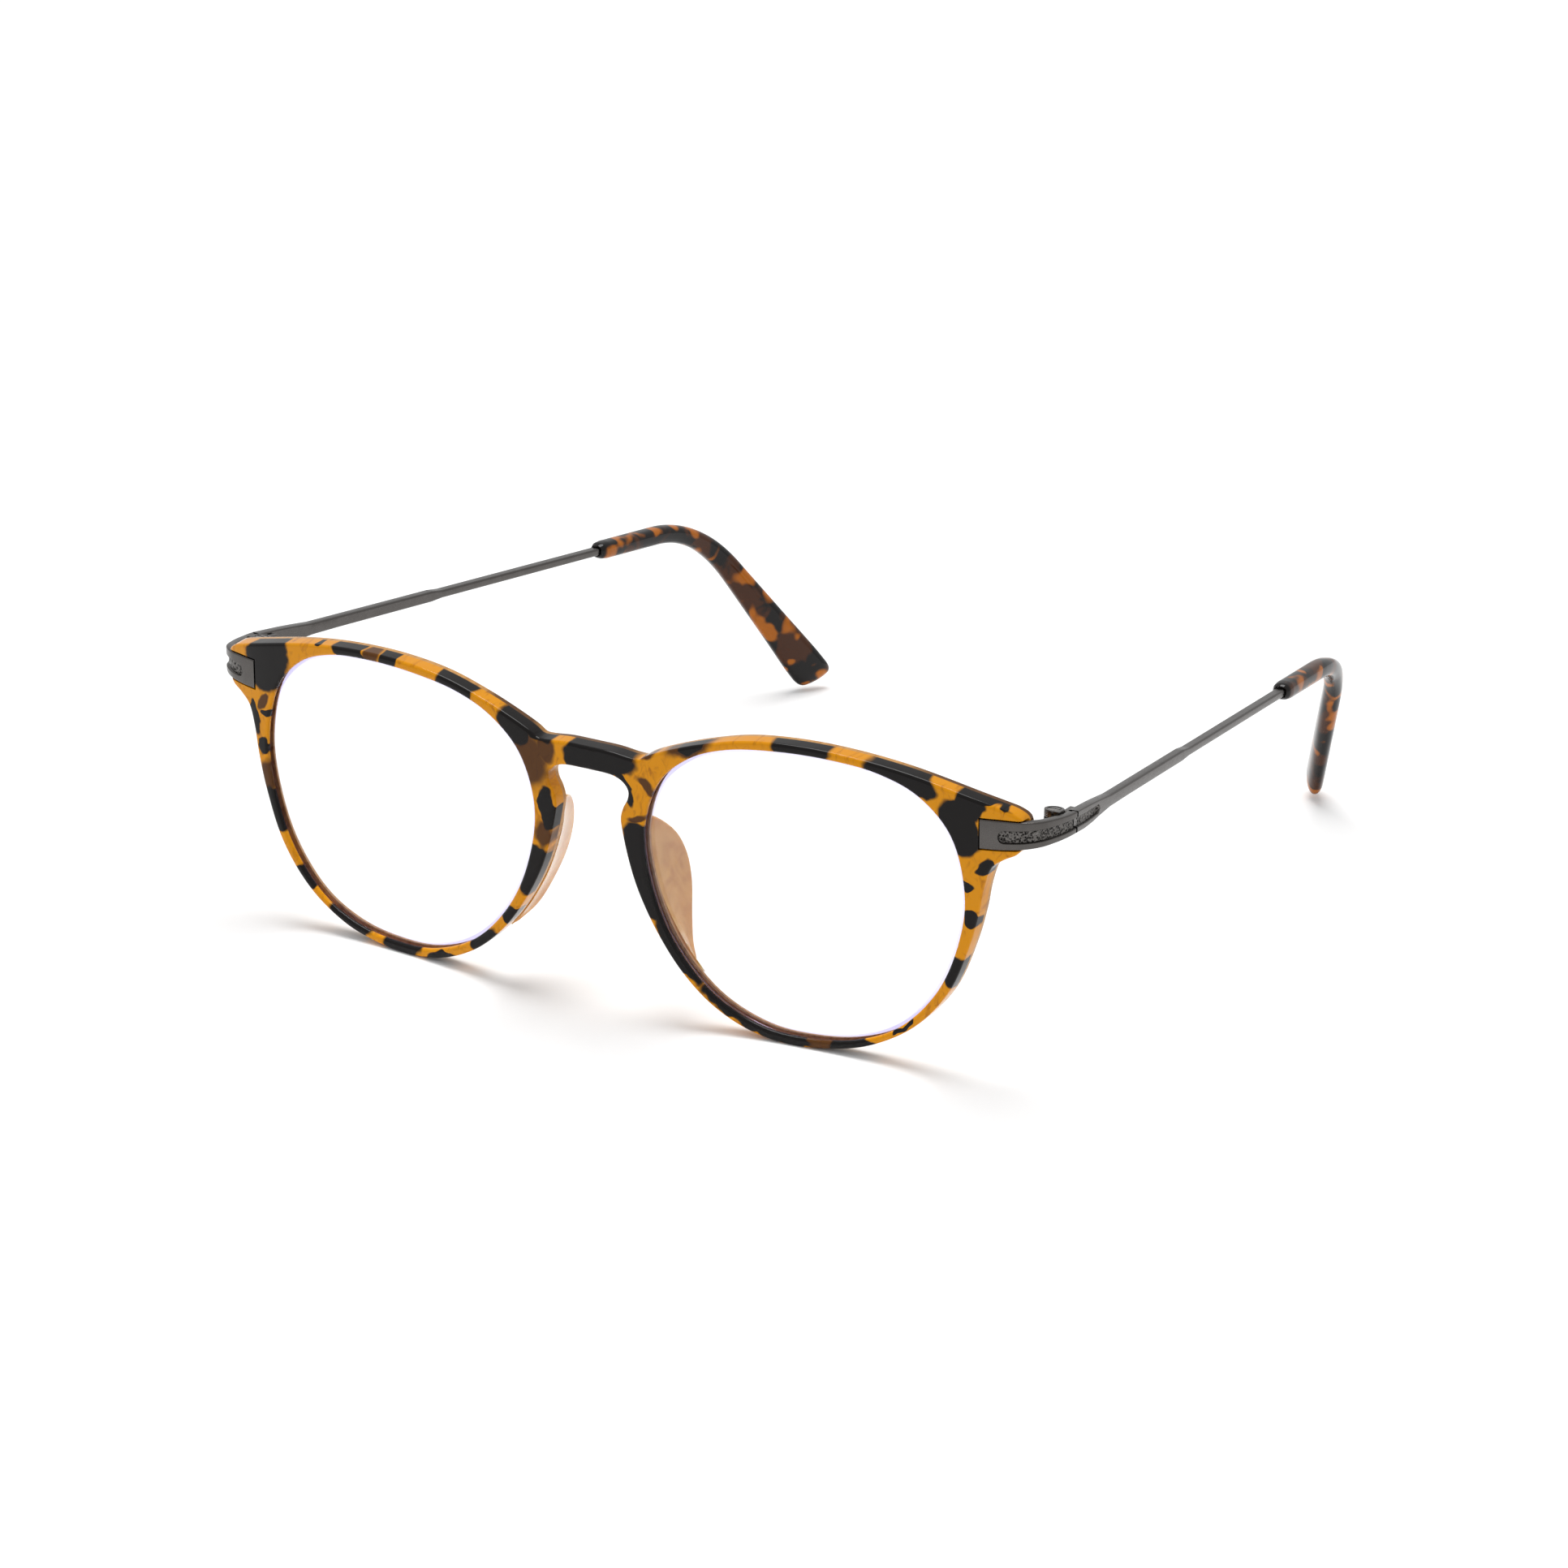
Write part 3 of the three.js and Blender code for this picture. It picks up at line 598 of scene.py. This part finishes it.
def pitted(point, depth):
    """How much deeper a hammered floor is at a point, as a share of the channel's depth."""
    dents = noise.noise(Vector(point) * 2.1) + 0.5 * noise.noise(Vector(point) * 4.3)
    return 0.28 * depth * max(-0.5, min(0.8, dents))


def rounded_end(distance, full):
    """Height and depth shares of a channel at a distance past its rounded end."""
    if distance <= 0:
        return 0.02, 0
    reach = full / 2
    share = min(1, distance / reach)
    return sqrt(1 - (1 - share) ** 2), smoothstep(distance, 0, 0.25)


def strip_curve(share):
    points = [Vector(row[:3]) for row in STRIP_PATH]
    return curve_point(points, share * (len(points) - 1))


def strip_frame(share):
    """Outer surface point, outward and upward directions, and the way along, at a share."""
    step = 0.001
    low, high = max(0, share - step), min(1, share + step)
    along = (strip_curve(high) - strip_curve(low)).normalized()
    outward = along.cross(Vector((0, 0, 1))).normalized()
    return strip_curve(share), outward, outward.cross(along), along


def plain_strip(margin):
    """The strip's whole outer shape, swollen by a margin."""
    rings = []
    steps = 40
    for i in range(steps + 1):
        share = i / steps
        centre, outward, up, along = strip_frame(share)
        centre = centre - outward * (STRIP_THICKNESS / 2) - along * (margin if i == 0 else 0)
        w = STRIP_THICKNESS / 2 + margin
        h = value_at(STRIP_PATH, share, 3) / 2 + margin
        c = 0.15
        corners = [
            (w, -h + c), (w, h - c), (w - c, h), (-w + c, h),
            (-w, h - c), (-w, -h + c), (-w + c, -h), (w - c, -h),
        ]
        rings.append([centre + outward * s + up * t for s, t in corners])
    return loft("tool", rings)


def endpiece():
    rings = []
    steps = 130
    corner = 0.22
    groove_start = strip_curve(GROOVE_START)
    for i in range(steps + 1):
        share = i / steps
        centre, outward, up, along = strip_frame(share)
        full = lerp(2.0, 1.5, share)
        tall, deep = rounded_end((centre - groove_start).dot(along), full)
        lift = lerp(-0.25, 0, share)
        height = value_at(STRIP_PATH, share, 3)
        section = channel_section(STRIP_THICKNESS, height, corner, full * tall, GROOVE_DEPTH * deep, lift)
        centre = centre - outward * (STRIP_THICKNESS / 2)
        rings.append(raised_ring(section, centre, outward, up, deep))
    piece = loft("endpiece", rings, lambda ring, side: is_floor(side) and ring > steps * GROOVE_START)
    dress(piece, METAL)
    reach = (-1, 6)
    notch = TONGUE[1] / 2 + FIT_GAP
    tools = [
        box(reach, (SEAM - SEAM_GAP, 8), (-5, 5)),
        box(reach, (SEAM - TONGUE[0] - FIT_GAP, 8), (-notch, notch)),
        box((-1, ARM_OFFSET), (SEAM - LIP[0] - FIT_GAP, 8), (-5, 5)),
    ]
    return combine(piece, [placed(tool, hinge_on_front()) for tool in tools])


def raised_ring(section, centre, outward, up, deep):
    """A section placed in space, with the dents of its channel floor."""
    ring = []
    for side, (sideways, upward) in enumerate(section):
        point = centre + outward * sideways + up * upward
        inside = FLOOR_FIRST < side < FLOOR_LAST
        ring.append(point - outward * pitted(point, GROOVE_DEPTH * deep) if inside else point)
    return ring


# ---------- rivets ----------


def rivet(name, margin):
    neck = FRONT_THICKNESS * cos(atan(bow_slope(RIVET_X))) + 0.05
    shank = RIVET_RADIUS + margin
    head = RIVET_HEAD_RADIUS + margin
    start = STRIP_THICKNESS + FIT_GAP - margin
    profile = [(shank, start), (shank, neck - margin), (head, neck - margin), (head, neck + 0.14)]
    profile += [(head * cos(angle), neck + 0.14 + 0.3 * sin(angle)) for angle in (0.35, 0.7, 1.05, 1.35)]
    return lathe(name, profile, 32)


def rivet_on_front(name, height, margin):
    upright = Matrix.Rotation(-pi / 2, 4, "X")
    turn = Matrix.Rotation(atan(bow_slope(RIVET_X)), 4, "Z")
    return placed(rivet(name, margin), Matrix.Translation((RIVET_X, bow(RIVET_X), height)) @ turn @ upright)


# ---------- hinges ----------


def knuckle_span(place):
    top = 1.5 * KNUCKLE_HEIGHT + KNUCKLE_GAP + BARREL_LIFT
    start = top - place * (KNUCKLE_HEIGHT + KNUCKLE_GAP)
    return start - KNUCKLE_HEIGHT, start


def knuckle(place, way):
    span = knuckle_span(place)
    neck = (0, SEAM + 0.1) if way > 0 else (-SEAM - 0.1, 0)
    return [disc(KNUCKLE_RADIUS, *span, edge=0.1), box((LEAF_INNER, KNUCKLE_RADIUS - 0.05), neck, span)]


def front_hinge():
    leaf = round_edges(box((LEAF_INNER, KNUCKLE_RADIUS), (-LEAF_REACH, -SEAM), (-1.6, 1.4)), 0.12)
    leaf.name = "front_hinge"
    combine(leaf, [*knuckle(0, -1), *knuckle(2, -1)], "UNION")
    top = knuckle_span(0)[1]
    tools = [
        disc(SCREW_RADIUS + BORE_CLEARANCE, -5, 5),
        disc(SCREW_HEAD_RADIUS + BORE_CLEARANCE, top - 0.4, top + 1),
        placed(plain_strip(FIT_GAP), hinge_on_front().inverted()),
    ]
    return combine(leaf, tools)


def temple_hinge():
    leaf = round_edges(box((LEAF_INNER, KNUCKLE_RADIUS), (SEAM, LEAF_REACH), (-1.5, 1.25)), 0.12)
    leaf.name = "temple_hinge"
    combine(leaf, knuckle(1, 1), "UNION")
    return combine(leaf, [disc(SCREW_RADIUS + BORE_CLEARANCE, -5, 5)])


def hinge_screw():
    top = knuckle_span(0)[1] - 0.03
    head = SCREW_HEAD_RADIUS
    profile = [
        (SCREW_RADIUS - 0.1, knuckle_span(2)[0]), (SCREW_RADIUS, knuckle_span(2)[0] + 0.1),
        (SCREW_RADIUS, top - 0.34), (head, top - 0.34), (head, top - 0.1), (head - 0.03, top - 0.03),
        (head - 0.1, top), (0.3, top + 0.005),
    ]
    width, depth = SCREW_SLOT
    slot = box((-2, 2), (-width / 2, width / 2), (top - depth, top + 1))
    return combine(lathe("hinge_screw", profile), [slot])


# ---------- temples ----------


def temple_arm():
    rings = []
    steps = 200
    end = ARM_PROFILE[-1][0]
    for i in range(steps + 1):
        share = i / steps
        distance = end * share ** 1.5
        top, bottom = (look_up(ARM_PROFILE, distance, column) for column in (1, 2))
        full = lerp(1.5, 1.3, smoothstep(distance, 3, 8))
        tall, deep = rounded_end(ARM_CHANNEL_END - distance, full)
        corner = lerp(0.2, 0.3, smoothstep(distance, 8, 14))
        section = channel_section(ARM_THICKNESS, top - bottom, corner, full * tall, GROOVE_DEPTH * deep, 0)
        centre = Vector((ARM_OFFSET, SEAM + distance, (top + bottom) / 2))
        rings.append(raised_ring(section, centre, Vector((1, 0, 0)), Vector((0, 0, 1)), deep))
    last_floor = sum(end * (i / steps) ** 1.5 < ARM_CHANNEL_END for i in range(steps))
    arm = loft("temple_arm", rings, lambda ring, side: is_floor(side) and ring < last_floor)
    dress(arm, [*METAL, "painted_seam_shade"])
    half = ARM_THICKNESS / 2
    tongue = box(
        (ARM_OFFSET - half, ARM_OFFSET + half - GROOVE_DEPTH),
        (SEAM - TONGUE[0], SEAM + 0.5),
        (-TONGUE[1] / 2, TONGUE[1] / 2),
    )
    lip = box(
        (ARM_OFFSET - half, ARM_OFFSET - 0.1),
        (SEAM - LIP[0], SEAM + 0.5),
        (-LIP[1] / 2, LIP[1] / 2),
    )
    combine(arm, [round_edges(tongue, 0.05), round_edges(lip, 0.05)], "UNION")
    # The arm's end, tongue and lip, at and before the seam, get the near-black material: painted shade in the
    # seam's gap.
    for polygon in arm.data.polygons:
        if polygon.center.y < SEAM + 0.01:
            polygon.material_index = 2
    return arm


def tip_path(share):
    """Point and direction at a share of the tip's length: straight, bent down, straight."""
    reach = TIP_BEND_REACH
    start = Vector((ARM_OFFSET, SEAM + SLEEVE_START, 0.12))
    corner = Vector((ARM_OFFSET, SEAM + ARM_LENGTH, 0.12))
    curl, drop = radians(CURL_ANGLE), radians(DROP_ANGLE)
    down = Vector((-sin(curl), cos(curl) * cos(drop), -cos(curl) * sin(drop)))
    ahead = Vector((0, 1, 0))
    first = (corner - start).length - reach
    bend = [corner - ahead * reach, corner, corner + down * reach]
    steps = 24
    arc = [lerp(lerp(bend[0], bend[1], i / steps), lerp(bend[1], bend[2], i / steps), i / steps)
           for i in range(steps + 1)]
    lengths = [(b - a).length for a, b in zip(arc, arc[1:])]
    place = share * (first + sum(lengths) + DROP_LENGTH - reach)
    if place <= first:
        return start + ahead * place, ahead
    place -= first
    for i, length in enumerate(lengths):
        if place <= length:
            turn = (i + place / length) / steps
            return lerp(arc[i], arc[i + 1], place / length), lerp(ahead, down, turn).normalized()
        place -= length
    return bend[2] + down * place, down


def tip_ring(share, width, height, sides=32, power=0.8):
    centre, along = tip_path(share)
    across = along.cross(Vector((0, 0, 1))).normalized()
    up = across.cross(along) + along * TIP_SLANT * smoothstep(share, 0.8, 1)

    def soften(value):
        return (1 if value > 0 else -1) * abs(value) ** power

    angles = [2 * pi * i / sides for i in range(sides)]
    return [
        centre + across * (soften(cos(angle)) * width / 2) + up * (soften(sin(angle)) * height / 2)
        for angle in angles
    ]


def temple_tip():
    mouth_width = ARM_THICKNESS + 2 * FIT_GAP
    mouth_height = look_up(ARM_PROFILE, SLEEVE_START, 1) - look_up(ARM_PROFILE, SLEEVE_START, 2) + 2 * FIT_GAP
    even = [i / 60 * (1 - TIP_ROUNDING) for i in range(61)]
    fine = [0.002, 0.005, 0.01, 0.02, 0.03]
    end = [1 - TIP_ROUNDING * (1 - sin(pi / 2 * i / 12)) for i in range(1, 13)]
    shares = sorted(even + fine + end)
    inside = [tip_ring(share, mouth_width, mouth_height, power=0.5) for share in (0.024, 0.012, 0)]
    outside = []
    for share in shares:
        height, width = (look_up(SLEEVE_PROFILE, share, column) for column in (1, 2))
        past = max(0, (share - 1) / TIP_ROUNDING + 1)
        thinned = max(0.3, (1 - past ** 2.2) ** (1 / 2.2))
        lowered = lerp(0.35, 1, (1 - past ** 3) ** (1 / 3))
        outside.append(tip_ring(share, width * thinned, height * lowered))
    return loft("temple_tip", inside + outside)


# ---------- materials ----------


class Nodes:
    """A material's node tree, with short calls for the nodes that are used a lot."""

    def __init__(self, name):
        self.material = bpy.data.materials.new(name)
        self.material.use_nodes = True
        self.tree = self.material.node_tree
        self.shader = self.tree.nodes["Principled BSDF"]

    def add(self, kind, inputs=None, **settings):
        node = self.tree.nodes.new(kind)
        for key, value in settings.items():
            setattr(node, key, value)
        for key, value in (inputs or {}).items():
            self.set(node.inputs[key], value)
        return node

    def set(self, socket, value):
        if isinstance(value, bpy.types.NodeSocket):
            self.tree.links.new(value, socket)
        else:
            socket.default_value = value

    def shade(self, **values):
        for key, value in values.items():
            self.set(self.shader.inputs[key.replace("_", " ").title().replace("Ior", "IOR")], value)
        return self.material

    def math(self, operation, *values):
        inputs = dict(enumerate(values))
        return self.add("ShaderNodeMath", inputs, operation=operation).outputs[0]

    def vector(self, operation, *values, output=0):
        inputs = dict(enumerate(values))
        return self.add("ShaderNodeVectorMath", inputs, operation=operation).outputs[output]

    def place(self):
        """Where a point is in the front's frame, in mm."""
        coordinates = self.add("ShaderNodeTexCoord").outputs["Object"]
        inputs = {
            "Vector": coordinates, "Location": FRONT.translation,
            "Rotation": (radians(FRONT_TILT), 0, 0), "Scale": (MM, MM, MM),
        }
        return self.add("ShaderNodeMapping", inputs, vector_type="TEXTURE").outputs[0]

    def noise(self, place, scale, detail=2.0, stretch=(1, 1, 1), output="Fac", distortion=0.0):
        stretched = self.vector("MULTIPLY", place, stretch)
        inputs = {"Vector": stretched, "Scale": scale, "Detail": detail, "Distortion": distortion}
        return self.add("ShaderNodeTexNoise", inputs).outputs[output]

    def ramp(self, value, low, high, start=0.0, end=1.0):
        inputs = {"Value": value, "From Min": low, "From Max": high, "To Min": start, "To Max": end}
        return self.add("ShaderNodeMapRange", inputs, interpolation_type="SMOOTHSTEP").outputs[0]

    def mix(self, share, first, second):
        node = self.add("ShaderNodeMix", data_type="RGBA")
        for socket, value in zip((node.inputs[0], node.inputs[6], node.inputs[7]), (share, first, second)):
            self.set(socket, value)
        return node.outputs[2]

    def bump(self, height, strength, distance):
        inputs = {"Height": height, "Strength": strength, "Distance": distance}
        return self.add("ShaderNodeBump", inputs).outputs[0]


AMBER = (0.66, 0.26, 0.0005, 1)
AMBER_DEEP = (0.40, 0.135, 0.002, 1)
HONEY = (0.52, 0.27, 0.085, 1)
HONEY_DEEP = (0.34, 0.15, 0.035, 1)
BLACK = (0.005, 0.0038, 0.0035, 1)
BROWN = (0.045, 0.014, 0.005, 1)


def blotch_share(nodes, place, blotches, softness):
    """1 inside the blotches and 0 outside."""
    nearest = None
    for x, z, half_length, half_width, angle in blotches:
        inputs = {
            "Vector": place, "Location": (x, 0, z), "Rotation": (0, radians(-angle), 0),
            "Scale": (half_length, 1000, half_width),
        }
        local = nodes.add("ShaderNodeMapping", inputs, vector_type="TEXTURE").outputs[0]
        distance = nodes.vector("LENGTH", local, output=1)
        nearest = distance if nearest is None else nodes.math("MINIMUM", nearest, distance)
    return nodes.ramp(nearest, 1 - softness, 1 + softness, 1, 0)


def polished(nodes, place):
    """The slight waviness and hand marks of polished plastic."""
    waves = nodes.noise(place, 0.25, 1)
    marks = nodes.noise(place, 3.0, 4)
    nodes.shade(normal=nodes.bump(waves, 0.12, 0.0004), roughness=nodes.ramp(marks, 0.3, 0.75, 0.06, 0.13))


def depth_below_front(nodes, place):
    axes = nodes.add("ShaderNodeSeparateXYZ", {"Vector": place}).outputs
    past = nodes.math("MAXIMUM", nodes.math("SUBTRACT", nodes.math("ABSOLUTE", axes[0]), WRAP_START), 0)
    wrap = nodes.math("MULTIPLY", nodes.math("MULTIPLY", past, past), END_WRAP)
    bowed = nodes.math("MULTIPLY", nodes.math("MULTIPLY", axes[0], axes[0]), FRONT_BOW)
    return nodes.math("SUBTRACT", nodes.math("SUBTRACT", axes[1], bowed), wrap)


def tortoise():
    """Amber with black and brown blotches in front, on a honey-coloured rear layer."""
    nodes = Nodes("tortoise_fine")
    place = nodes.place()
    flat = nodes.vector("MULTIPLY", place, (1, 0.35, 1))
    drift = nodes.add("ShaderNodeTexNoise", {"Vector": flat, "Scale": 0.4, "Detail": 1.5}).outputs["Color"]
    push = nodes.vector("SCALE", nodes.vector("SUBTRACT", drift, (0.5, 0.5, 0.5)))
    push.node.inputs["Scale"].default_value = 2.2
    warped = nodes.vector("ADD", flat, push)
    black = blotch_share(nodes, warped, BLACK_BLOTCHES, 0.08)
    brown = blotch_share(nodes, warped, BROWN_BLOTCHES, 0.25)
    streaks = nodes.noise(warped, 0.55, 3, (1.6, 1, 0.7), distortion=1.2)
    amber = nodes.mix(nodes.ramp(streaks, 0.5, 0.8), AMBER, AMBER_DEEP)
    shell = nodes.mix(nodes.math("MULTIPLY", brown, 0.93), amber, BROWN)
    shell = nodes.mix(black, shell, BLACK)
    rear = nodes.mix(nodes.ramp(streaks, 0.4, 0.8), HONEY, HONEY_DEEP)
    shade = nodes.math("MULTIPLY", blotch_share(nodes, warped, REAR_BLOTCHES, 0.35), 0.85)
    rear = nodes.mix(shade, rear, BROWN)
    layer = nodes.ramp(depth_below_front(nodes, place), 2.25, 2.5)
    colour = nodes.mix(layer, shell, rear)
    polished(nodes, place)
    return nodes.shade(base_color=colour, specular_ior_level=0.18, subsurface_weight=0.1,
                       subsurface_radius=(1.0, 0.5, 0.2), subsurface_scale=0.001)


def near_tip_end(nodes, place, share, reach):
    """1 within a reach of one end of either plastic tip, 0 further off."""
    end = hinge_on_front() @ tip_path(share)[0]
    axes = nodes.add("ShaderNodeSeparateXYZ", {"Vector": place}).outputs
    outward = nodes.math("ABSOLUTE", axes[0])
    folded = nodes.add("ShaderNodeCombineXYZ", {"X": outward, "Y": axes[1], "Z": axes[2]}).outputs[0]
    distance = nodes.vector("DISTANCE", folded, end, output=1)
    return nodes.ramp(distance, reach - 0.3, reach + 0.3, 1, 0)


def dark_tortoise():
    """Near-black plastic with brown clouds and orange spots, a black collar and an orange end."""
    nodes = Nodes("dark_tortoise_fine")
    place = nodes.place()
    clouds = nodes.noise(place, 0.2, 2, distortion=0.6)
    spots = nodes.noise(place, 0.27, 1.2, distortion=0.3)
    colour = nodes.mix(nodes.ramp(clouds, 0.46, 0.56), BLACK, (0.05, 0.014, 0.003, 1))
    colour = nodes.mix(nodes.ramp(spots, 0.53, 0.64), colour, (0.36, 0.1, 0.001, 1))
    ends = nodes.math("MULTIPLY", near_tip_end(nodes, place, 1, 2.2), nodes.ramp(clouds, 0.4, 0.5))
    colour = nodes.mix(ends, colour, (0.42, 0.12, 0.001, 1))
    colour = nodes.mix(near_tip_end(nodes, place, 0, 1.7), colour, BLACK)
    polished(nodes, place)
    return nodes.shade(base_color=colour, specular_ior_level=0.25)


def honey_plastic():
    nodes = Nodes("honey_pad_fine")
    place = nodes.place()
    clouds = nodes.noise(place, 0.3, 3, distortion=0.6)
    colour = nodes.mix(nodes.ramp(clouds, 0.35, 0.75), (0.68, 0.36, 0.11, 1), (0.56, 0.25, 0.065, 1))
    polished(nodes, place)
    return nodes.shade(base_color=colour, subsurface_weight=0.4, subsurface_radius=(1.0, 0.6, 0.3),
                       subsurface_scale=0.0015, specular_ior_level=0.4)


def clear_lens(name, tint):
    nodes = Nodes(name)
    place = nodes.place()
    smudges = nodes.noise(place, 0.08, 3)
    return nodes.shade(base_color=tint, transmission_weight=1.0, ior=1.5,
                       roughness=nodes.ramp(smudges, 0.4, 0.8, 0.0, 0.012))


def gunmetal(name, pits):
    """Satin plating. With pits, the hammered floor of the channel, painted near-black in its dents as shade
    and lighter on the rims between them.
    """
    nodes = Nodes(name)
    place = nodes.place()
    grain = nodes.noise(place, 6.0, 3, (1, 0.12, 1))
    clouds = nodes.noise(place, 0.6, 2)
    colour = nodes.mix(clouds, (0.085, 0.079, 0.075, 1), (0.115, 0.107, 0.102, 1))
    roughness = nodes.ramp(grain, 0.3, 0.7, 0.22, 0.32)
    height = grain
    strength, distance = 0.05, 0.00003
    if pits:
        cells = nodes.add("ShaderNodeTexVoronoi", {"Vector": place, "Scale": 2.9}).outputs["Distance"]
        rough = nodes.noise(place, 3.6, 4)
        height = nodes.math("ADD", cells, rough)
        # Painted shade: the floor is near-black where it lies deep and lighter where it stands high,
        # following the bump's heights.
        colour = nodes.mix(nodes.ramp(height, 0.72, 1.2), (0.012, 0.011, 0.01, 1), (0.17, 0.16, 0.152, 1))
        roughness = nodes.ramp(rough, 0.3, 0.7, 0.25, 0.45)
        strength, distance = 1.0, 0.00015
    return nodes.shade(base_color=colour, metallic=1.0, roughness=roughness,
                       normal=nodes.bump(height, strength, distance))


def blackened_metal():
    """Painted shade: the faces inside the seam are painted near-black for the shade in the gap between
    endpiece and arm.
    """
    nodes = Nodes("gunmetal_painted_seam_shade")
    grain = nodes.noise(nodes.place(), 5.0, 3)
    colour = nodes.mix(grain, (0.003, 0.003, 0.003, 1), (0.012, 0.011, 0.011, 1))
    roughness = nodes.ramp(grain, 0.3, 0.7, 0.6, 0.8)
    return nodes.shade(base_color=colour, roughness=roughness, specular_ior_level=0.1)


def hinge_steel():
    nodes = Nodes("hinge_steel_fine")
    place = nodes.place()
    grain = nodes.noise(place, 9.0, 3)
    colour = nodes.mix(grain, (0.2, 0.19, 0.185, 1), (0.36, 0.345, 0.33, 1))
    return nodes.shade(base_color=colour, metallic=1.0, roughness=nodes.ramp(grain, 0.3, 0.7, 0.2, 0.38),
                       normal=nodes.bump(grain, 0.15, 0.00005))


# ---------- putting the pieces together ----------


def build_glasses():
    finish_piece(front_plastic(), "front", ["front_frame"], ["tortoise"])
    place_pairs(lens(), FRONT, "front", "lens_{}", ["lens"], 40)
    place_pairs(nose_pad(), FRONT, "front", "nose_pad_{}", ["honey"], 50)
    place_pairs(endpiece(), FRONT, "front", "endpiece_{}", METAL)
    for place, height in RIVET_HEIGHTS.items():
        name = f"endpiece_rivet_{place}"
        piece = rivet_on_front(name, height, 0)
        place_pairs(piece, FRONT, "front", name + "_{}", ["steel"])
    place_pairs(front_hinge(), HINGE, "front", "front_hinge_{}", METAL)
    place_pairs(hinge_screw(), HINGE, "front", "hinge_screw_{}", ["steel"])
    place_pairs(temple_hinge(), HINGE, "temple_{}", "temple_hinge_{}", METAL)
    place_pairs(temple_arm(), HINGE, "temple_{}", "temple_arm_{}", METAL)
    place_pairs(temple_tip(), HINGE, "temple_{}", "temple_tip_{}", ["dark"])
    for side in ("left", "right"):
        bpy.data.objects[f"lens_{side}_fine"].visible_shadow = False


def place_pairs(piece, matrix, body, node, materials, angle=35):
    for side, one in both_sides(piece, matrix, angle).items():
        finish_piece(one, body.format(side), [node.format(side)], materials)


METAL = ["gunmetal", "pitted"]
MATERIALS = {
    "tortoise": tortoise(),
    "dark": dark_tortoise(),
    "honey": honey_plastic(),
    "lens": clear_lens("clear_lens_fine", (0.985, 0.985, 1.0, 1)),
    # Violet tint on the lens edge: painted reflection of the coating.
    "lens_edge": clear_lens("clear_lens_edge_painted_reflection", (0.66, 0.62, 0.92, 1)),
    "gunmetal": gunmetal("gunmetal_fine", pits=False),
    "pitted": gunmetal("gunmetal_pitted_painted_shade", pits=True),
    # Near-black paint for the seam's faces: painted shade in the gap.
    "painted_seam_shade": blackened_metal(),
    "steel": hinge_steel(),
}

# ---------- studio and camera ----------


def floor():
    reach = 3.0
    corners = [(-reach, -reach, 0), (reach, -reach, 0), (reach, reach, 0), (-reach, reach, 0)]
    piece = mesh_object("floor", corners, [(0, 1, 2, 3)])
    nodes = Nodes("floor_paper")
    place = nodes.place()
    fibres = nodes.noise(place, 1.5, 3)
    colour = nodes.mix(fibres, (0.93, 0.93, 0.93, 1), (0.95, 0.95, 0.95, 1))
    piece.data.materials.append(nodes.shade(base_color=colour, roughness=0.9))


def area_light(name, place, target, size, power):
    light = bpy.data.lights.new(name, "AREA")
    light.shape = "DISK"
    light.size = size
    light.energy = power
    lamp = bpy.data.objects.new(name, light)
    bpy.context.scene.collection.objects.link(lamp)
    lamp.location = place
    lamp.rotation_euler = (Vector(target) - Vector(place)).to_track_quat("-Z", "Y").to_euler()


WORLD_LIGHT = 0.72
LAMP_PLACE = (-0.14, 0.16, 0.9)
LAMP_SIZE = 0.6
LAMP_POWER = 5.5


def studio():
    floor()
    scene = bpy.context.scene
    scene.view_settings.view_transform = "Standard"
    world = bpy.data.worlds.new("studio")
    world.use_nodes = True
    background = world.node_tree.nodes["Background"]
    background.inputs["Color"].default_value = (1, 1, 1, 1)
    background.inputs["Strength"].default_value = WORLD_LIGHT
    scene.world = world
    area_light("overhead", LAMP_PLACE, (0, 0, 0), LAMP_SIZE, LAMP_POWER)


# The view, in the front's frame: degrees and mm.
VIEW_AZIMUTH = 29.96
VIEW_ELEVATION = 22.88
VIEW_ROLL = -0.25
VIEW_DISTANCE = 1108.1
VIEW_TARGET = Vector((22.4, 17.2, 8.7))
SENSOR_WIDTH = 36
FOCAL_LENGTH = 178.8


def camera():
    """Looks at the front from its left and a little above, in the front's own frame."""
    azimuth, elevation, roll = radians(VIEW_AZIMUTH), radians(VIEW_ELEVATION), radians(VIEW_ROLL)
    back = Vector((sin(azimuth) * cos(elevation), -cos(azimuth) * cos(elevation), sin(elevation)))
    right = Vector((cos(azimuth), sin(azimuth), 0))
    up = back.cross(right)
    turned_right = right * cos(roll) + up * sin(roll)
    turned_up = up * cos(roll) - right * sin(roll)
    rotation = Matrix((turned_right, turned_up, back)).transposed()
    data = bpy.data.cameras.new("camera")
    data.sensor_width = SENSOR_WIDTH
    data.lens = FOCAL_LENGTH
    data.clip_start = 0.05
    data.clip_end = 20
    eye = bpy.data.objects.new("camera", data)
    bpy.context.scene.collection.objects.link(eye)
    tilt = Matrix.Rotation(radians(FRONT_TILT), 3, "X")
    place = FRONT @ (VIEW_TARGET + back * VIEW_DISTANCE)
    eye.matrix_world = Matrix.Translation(place) @ (tilt @ rotation).to_4x4()
    bpy.context.scene.camera = eye


studio()
camera()
build_glasses()


bpy.context.view_layer.update()
